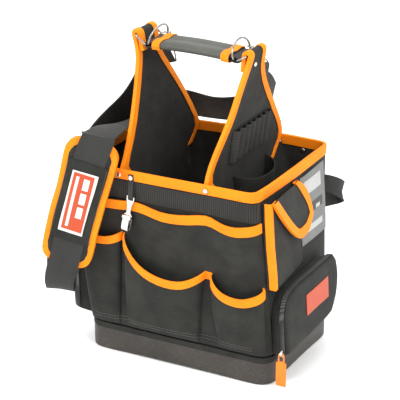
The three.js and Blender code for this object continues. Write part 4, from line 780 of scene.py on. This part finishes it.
@dataclass
class Gable:
    """One of the two tall end walls that carry the handle, with its bound edges.

    Attributes:
        side: Which of the two it is.
        plane: Where it stands, in millimetres.
        out: One if its outer face looks right, and minus one if left.
        lowest: The height at which its seams start.
        step: The rise from one of a seam's points to the next.
        steps: How many points a seam has at most.
        margin: How far a seam lies from its tape's inner edge, in metres.
    """

    side: str
    plane: float
    out: int
    lowest: float = 290
    step: float = 6.2
    steps: int = 28
    margin: float = 7.4 * MM

    def build(self) -> None:
        """Makes the wall and its two tapes, and sews them."""
        wall = stand_for(f"gable_{self.side}", CLOTH, SHEET)
        tapes = [stand_for(f"gable_{self.side}_{end}_binding", TAPE, TRIM)
                 for end in ("front", "rear")]
        self.sew(wall, tapes)

    def sew(self, wall: bpy.types.Object, tapes: list[bpy.types.Object]) -> None:
        """Sews each tape near its inner edge, on the outer face.

        Args:
            wall: The end wall.
            tapes: Its front and rear tape.
        """
        inward = Vector((-self.out, 0, 0))
        walls = tree_of([wall])
        seam = Seam(f"gable_{self.side}_seam", tapes, THREAD_ORANGE)
        for tape, sign in zip(tapes, (1, -1)):
            edge = tree_of([tape])
            line = []
            for step in range(self.steps):
                z = (self.lowest + step * self.step) * MM
                face = walls.ray_cast(Vector((self.out * 0.2 + self.plane * MM, 0, z)), inward)
                if not face[0]:
                    continue
                start = Vector((face[0].x - self.out * 1.2 * MM, -sign * 0.2, z))
                met = edge.ray_cast(start, Vector((0, sign, 0)))
                if met[0]:
                    line.append(Vector((face[0].x, met[0].y + sign * self.margin, z)))
            if len(line) > 2:
                seam.row(line, inward)
        seam.build()


@dataclass
class Handle:
    """The webbing between the gables, the foam grip on it, and the rings and hooks."""

    def build(self) -> None:
        """Makes the handle."""
        stand_for("handle_webbing", WEBBING, SHEET)
        grip = stand_for("handle_grip", GRIP, Softness(0, 40, 2))
        for end in ("left", "right"):
            stand_for(f"grip_end_{end}", TAPE, Softness(0.4 * MM, 38, 2))
            for wire in ("link_ring", "d_ring", "snap_hook"):
                stand_for(f"{wire}_{end}", WIRE, ROUND)


@dataclass
class PadFrame:
    """The plane of the shoulder pad: where its top is, and its two ways.

    Attributes:
        top: The middle of its upper end.
        foot: The middle of its lower end.
        turn: How many degrees its face is turned to the right.
    """

    top: Vector = field(default_factory=lambda: mm(-109.95, -146.91, 347.41))
    foot: Vector = field(default_factory=lambda: mm(-160.05, -158.49, 154.93))
    turn: float = 16

    def __post_init__(self) -> None:
        """Works out the pad's ways from its two ends."""
        self.down = (self.foot - self.top).normalized()
        turned = Vector((math.cos(math.radians(self.turn)), math.sin(math.radians(self.turn)), 0))
        self.across = (turned - self.down * self.down.dot(turned)).normalized()
        self.face = self.down.cross(self.across).normalized()

    def at(self, down: float, across: float, off: float = 0) -> Vector:
        """The pad's point that is so many millimetres down, across and off its face."""
        return self.top + (self.down * down + self.across * across + self.face * off) * MM


@dataclass
class ShoulderPad:
    """The stuffed pad on the strap, its tape, the sleeve that holds the strap and its label.

    Attributes:
        place: The pad's plane.
        voxel: The size of its remesh in metres.
        start: Its size before it swells, as a share.
        pressure: What swells it.
        frames: How many steps it swells for.
        most: How far a point may go, in metres.
        length: Its length in millimetres.
        width: Its width.
        seam_margin: How far its seam lies from its edge.
        seam_radius: The seam's rounding at the corners.
        sleeve_half: How far the sleeve's seams are from the middle.
        sleeve_ends: Where those seams start and end, down the pad.
    """

    place: PadFrame = field(default_factory=PadFrame)
    voxel: float = 3.2 * MM
    start: float = 0.985
    pressure: float = 4
    frames: int = 20
    most: float = 3.2 * MM
    length: float = 199
    width: float = 74
    seam_margin: float = 8.6
    seam_radius: float = 20
    sleeve_half: float = 29
    sleeve_ends: tuple[float, float] = (34, 153)

    def build(self) -> None:
        """Makes the pad and all that is sewn on it."""
        pad = self.cushion()
        dress(pad, PAD_CLOTH, "bag", 80)
        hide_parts("shoulder_pad")
        tape = stand_for("pad_binding", TAPE, Softness(0.4 * MM, 38, 2))
        sleeve = stand_for("pad_sleeve", PAD_CLOTH, TRIM)
        label = stand_for("pad_label", LABEL_WHITE, TRIM)
        self.print_label(label)
        self.sew(tape, sleeve)

    def cushion(self) -> bpy.types.Object:
        """The pad itself, remeshed and blown up by cloth simulation.

        Returns:
            The pad's object.
        """
        mesh = solid_copy("shoulder_pad")
        centre = self.place.at(self.length / 2, 0)
        for vertex in mesh.verts:
            vertex.co = centre + (vertex.co - centre) * self.start
        pad = new_object("shoulder_pad_piece", mesh)
        remesh = pad.modifiers.new("remesh", "REMESH")
        remesh.mode = "VOXEL"
        remesh.voxel_size = self.voxel
        apply_modifiers(pad)
        self.inflate(pad)
        smooth = pad.modifiers.new("round", "SUBSURF")
        smooth.levels = smooth.render_levels = 1
        apply_modifiers(pad)
        settle(pad)
        return pad

    def inflate(self, pad: bpy.types.Object) -> None:
        """Lets the pad swell under pressure, and caps how far each point goes.

        Args:
            pad: The remeshed pad, changed in place.
        """
        rest = [v.co.copy() for v in pad.data.vertices]
        cloth = pad.modifiers.new("swell", "CLOTH")
        cloth.settings.use_pressure = True
        cloth.settings.uniform_pressure_force = self.pressure
        cloth.settings.effector_weights.gravity = 0
        cloth.settings.quality = 6
        scene = bpy.context.scene
        for step in range(1, self.frames + 1):
            scene.frame_set(step)
        apply_modifiers(pad)
        scene.frame_set(1)
        for vertex, start in zip(pad.data.vertices, rest):
            move = vertex.co - start
            if move.length > self.most:
                vertex.co = start + move.normalized() * self.most

    def print_label(self, label: bpy.types.Object) -> None:
        """Lays the label's plain field and its generic bars and stripe on it.

        Args:
            label: The label's white ground.
        """
        ground = tree_of([label])
        place = self.place
        middle = self.length * 0.47
        for name, down, across, tall, wide, finish in (
            ("pad_label_field", middle, 0, 92, 31, LABEL),
            ("pad_label_bar_1", middle - 31, 5.5, 18, 9, LABEL_WHITE),
            ("pad_label_bar_2", middle - 8, 5.5, 18, 9, LABEL_WHITE),
            ("pad_label_bar_3", middle + 15, 5.5, 18, 9, LABEL_WHITE),
            ("pad_label_stripe", middle, -8.5, 82, 4.5, LABEL_WHITE),
        ):
            mesh = bmesh.new()
            bmesh.ops.create_grid(mesh, x_segments=6, y_segments=16, size=0.5)
            lift = FIELD_LIFT if name.endswith("field") else MARK_LIFT
            for vertex in mesh.verts:
                point = place.at(down + vertex.co.y * tall, across + vertex.co.x * wide, 30)
                met = ground.ray_cast(point, -place.face)
                foot = met[0] if met[0] else point - place.face * 20 * MM
                vertex.co = foot + place.face * lift * MM
            print_on(name, mesh, 0.12 * MM, finish)

    def sew(self, tape: bpy.types.Object, sleeve: bpy.types.Object) -> None:
        """Sews the tape round the pad, and the sleeve down its two sides.

        Args:
            tape: The pad's tape.
            sleeve: The sleeve over the strap.
        """
        place = self.place
        inside, radius = self.seam_margin, self.seam_radius
        half = self.width / 2 - inside
        corners = []
        for down, across, start in ((inside + radius, half - radius, 0),
                                    (self.length - inside - radius, half - radius, 90),
                                    (self.length - inside - radius, radius - half, 180),
                                    (inside + radius, radius - half, 270)):
            for step in range(7):
                angle = math.radians(start + step * 15)
                corners.append(place.at(down - math.cos(angle) * radius,
                                        across + math.sin(angle) * radius))
        seam = Seam("pad_seam", [tape], THREAD_ORANGE)
        seam.row([*corners, corners[0]], -place.face)
        seam.build()
        hold = Seam("sleeve_seam", [sleeve], THREAD)
        for across in (-self.sleeve_half, self.sleeve_half):
            hold.row([place.at(down, across) for down in self.sleeve_ends], -place.face)
        hold.build()


@dataclass
class ShoulderStrap:
    """The wide webbing strap that runs round behind the bag.

    Attributes:
        turn: Where it turns over the pad's top.
        reach: How far from there it is eased, in metres.
        passes: How many times.
    """

    turn: Vector = field(default_factory=lambda: mm(-130, -148, 350))
    reach: float = 26 * MM
    passes: int = 6

    def build(self) -> None:
        """Makes the strap."""
        strap = stand_for("shoulder_strap", WEBBING, STRAP)
        self.ease(strap)

    def ease(self, strap: bpy.types.Object) -> None:
        """Eases the webbing where it turns over the pad's top, so that no corner stands up.

        Args:
            strap: The strap, changed in place.
        """
        mesh = bmesh.new()
        mesh.from_mesh(strap.data)
        for _ in range(self.passes):
            near = [v for v in mesh.verts if (v.co - self.turn).length < self.reach]
            bmesh.ops.smooth_vert(mesh, verts=near, factor=0.5, use_axis_x=True, use_axis_y=True,
                                  use_axis_z=True)
        mesh.to_mesh(strap.data)
        mesh.free()


@dataclass
class FrontPockets:
    """The four pleated pockets on the front and the tapes along their mouths.

    Attributes:
        hem: The heights of the hem's two rows in millimetres.
        half: How far the rows reach to each side.
        depth: How far in front they are.
    """

    hem: tuple[float, float] = (58, 63)
    half: float = 134
    depth: float = 118

    def build(self) -> None:
        """Makes the pockets."""
        shown = [stand_for(node, CLOTH, SHEET)
                 for node in ("upper_pocket", "pocket_left", "pocket_middle", "pocket_right")]
        tapes = [stand_for(node, TAPE, TRIM)
                 for node in ("upper_pocket_binding", "lower_pocket_binding")]
        self.sew([*shown, *tapes])

    def sew(self, shown: list[bpy.types.Object]) -> None:
        """Sews the pockets' hem above the base, in two rows.

        Args:
            shown: The pockets and their tapes.
        """
        seam = Seam("pocket_seam", shown, THREAD)
        for z in self.hem:
            seam.row([mm(x, -self.depth, z) for x in (-self.half, self.half)], Vector((0, 1, 0)))
        seam.build()


@dataclass
class RightSide:
    """The flat pocket, its flap and the printed panel on the right wall."""

    def build(self) -> None:
        """Makes the side pocket, the flap and the panel."""
        stand_for("side_pocket", CLOTH, SHEET)
        stand_for("side_pocket_binding", TAPE, TRIM)
        stand_for("side_flap", CLOTH, SHEET)
        stand_for("side_flap_binding", TAPE, TRIM)
        panel = stand_for("label_panel", CARD, SHEET)
        self.print_panel(panel)

    def print_panel(self, panel: bpy.types.Object) -> None:
        """Lays the panel's generic bars on it.

        Args:
            panel: The panel's grey ground.
        """
        ground = tree_of([panel])
        for name, middle, low, wide, tall, finish in (
            ("panel_strip", 56, 218, 66, 15, CARD_DARK),
            ("panel_bar_1", 42, 219, 24, 6, CARD_PALE),
            ("panel_bar_2", 72, 219, 14, 6, CARD_PALE),
            ("panel_window", 56, 250, 60, 22, CARD_PALE),
            ("panel_foot", 56, 190, 62, 10, CARD_PALE),
        ):
            mesh = bmesh.new()
            bmesh.ops.create_grid(mesh, x_segments=10, y_segments=4, size=0.5)
            lift = BAR_LIFT if "bar" in name else STRIP_LIFT
            for vertex in mesh.verts:
                y = middle + vertex.co.x * wide
                z = low + (vertex.co.y + 0.5) * tall
                met = ground.ray_cast(mm(230, y, z), Vector((-1, 0, 0)))
                vertex.co = (met[0] if met[0] else mm(144, y, z)) + mm(lift, 0, 0)
            print_on(name, mesh, 0.15 * MM, finish)


@dataclass
class ZipPocket:
    """One of the two deep end pockets: its walls, its zip, slider and pull."""

    side: str
    labelled: bool = False

    def build(self) -> None:
        """Makes the pocket."""
        stand_for(f"zip_pocket_{self.side}", CLOTH, Softness(0.5 * MM, 45, 2))
        stand_for(f"zipper_{self.side}", ZIP, TRIM)
        stand_for(f"zip_slider_{self.side}", NICKEL, Softness(0.3 * MM, 35, 1, False))
        stand_for(f"zip_pull_{self.side}", PULL, Softness(0.35 * MM, 35, 1, False),
                  f"pull_{self.side}")
        if self.labelled:
            stand_for("zip_pocket_label", LABEL, TRIM)


@dataclass
class Carriers:
    """What holds tools on the right: the holster, the bit sleeves and the hammer loop."""

    def build(self) -> None:
        """Makes the carriers."""
        stand_for("holster", CLOTH, SHEET)
        stand_for("bit_sleeves", SLEEVE, Softness(0.25 * MM, 50, 1))
        stand_for("hammer_loop", WEBBING, Softness(0.5 * MM, 50, 2))


@dataclass
class Fittings:
    """The rivets, and the clip on the front with its strap and its hinged jaw."""

    rivets: tuple[str, ...] = ("rivet_front_left", "rivet_front_right", "rivet_gable_right")
    dark: tuple[str, ...] = ("rivet_back", "rivet_rear_right")

    def build(self) -> None:
        """Makes the fittings."""
        for node in self.rivets:
            stand_for(node, NICKEL, ROUND)
        for node in self.dark:
            stand_for(node, WIRE, ROUND)
        stand_for("clip_strap", WEBBING, TRIM)
        stand_for("clip_stud", NICKEL, ROUND)
        stand_for("clip_body", NICKEL, RIGID)
        stand_for("clip_jaw", NICKEL, RIGID, "jaw")


# --- Studio ----------------------------------------------------------------------------------

@dataclass
class Studio:
    """The pale floor, the soft light and the camera at the photograph's angle.

    Attributes:
        azimuth: The camera's way round the bag, in degrees.
        elevation: Its way up.
        focal: Its focal length in pixels of a picture 400 wide.
        distance: How far from its aim it stands, in metres.
        aim: What it looks at.
    """

    azimuth: float = 27.9677484
    elevation: float = 21.67414001
    focal: float = 1700.0
    distance: float = 2.55096212
    aim: tuple[float, float, float] = (-0.01770171, 0.0, 0.22442011)

    def build(self) -> None:
        """Makes the studio."""
        self.camera()
        self.floor()
        self.lights()

    def camera(self) -> None:
        """Puts the camera where the photograph was taken from."""
        turn, rise = math.radians(self.azimuth), math.radians(self.elevation)
        back = Vector((math.sin(turn) * math.cos(rise), -math.cos(turn) * math.cos(rise),
                       math.sin(rise)))
        data = bpy.data.cameras.new("camera")
        data.sensor_width = 36
        data.lens = self.focal * 36 / 400
        made = bpy.data.objects.new("camera", data)
        made.location = Vector(self.aim) + back * self.distance
        made.rotation_mode = "QUATERNION"
        made.rotation_quaternion = (-back).to_track_quat("-Z", "Y")
        bpy.context.scene.collection.objects.link(made)
        bpy.context.scene.camera = made

    def floor(self) -> None:
        """Lays the plain pale floor."""
        mesh = bmesh.new()
        bmesh.ops.create_grid(mesh, x_segments=2, y_segments=2, size=9)
        bmesh.ops.translate(mesh, verts=mesh.verts[:], vec=(0, 0, -0.0004))
        floor = new_object("floor", mesh)
        made = bpy.data.materials.new("floor_paper")
        made.use_nodes = True
        shader = made.node_tree.nodes["Principled BSDF"]
        shader.inputs["Base Color"].default_value = linear("#fbfbfa")
        shader.inputs["Roughness"].default_value = 0.9
        floor.data.materials.append(made)

    def lights(self) -> None:
        """Hangs three soft boxes and fills the room with even light."""
        bpy.context.scene.view_settings.view_transform = "Standard"
        world = bpy.data.worlds.new("room")
        world.use_nodes = True
        back = world.node_tree.nodes["Background"]
        back.inputs["Color"].default_value = (1, 1, 1, 1)
        back.inputs["Strength"].default_value = 1.05
        bpy.context.scene.world = world
        for name, place, power, size in (
            ("key", (-1.5, -2.2, 2.5), 62, 1.3),
            ("rim", (1.9, -0.9, 2.0), 34, 1.1),
            ("top", (0.0, 0.6, 2.8), 30, 1.8),
        ):
            data = bpy.data.lights.new(name, "AREA")
            data.energy = power
            data.size = size
            lamp = bpy.data.objects.new(name, data)
            lamp.location = place
            way = Vector((0, 0, 0.22)) - Vector(place)
            lamp.rotation_mode = "QUATERNION"
            lamp.rotation_quaternion = way.to_track_quat("-Z", "Y")
            bpy.context.scene.collection.objects.link(lamp)


def main() -> None:
    """Builds every sub-assembly in order."""
    logging.basicConfig(level=logging.INFO, format="%(name)s %(message)s")
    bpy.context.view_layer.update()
    noise.seed_set(SEED)
    Studio().build()
    for part in (Base(), Walls(), Gable("left", -78, -1), Gable("right", 75, 1), Handle(),
                 ShoulderPad(), ShoulderStrap(), FrontPockets(), RightSide(),
                 ZipPocket("right", labelled=True), ZipPocket("left"), Carriers(), Fittings()):
        part.build()
        log.info("%s: built", type(part).__name__)


if __name__ == "__main__":
    main()
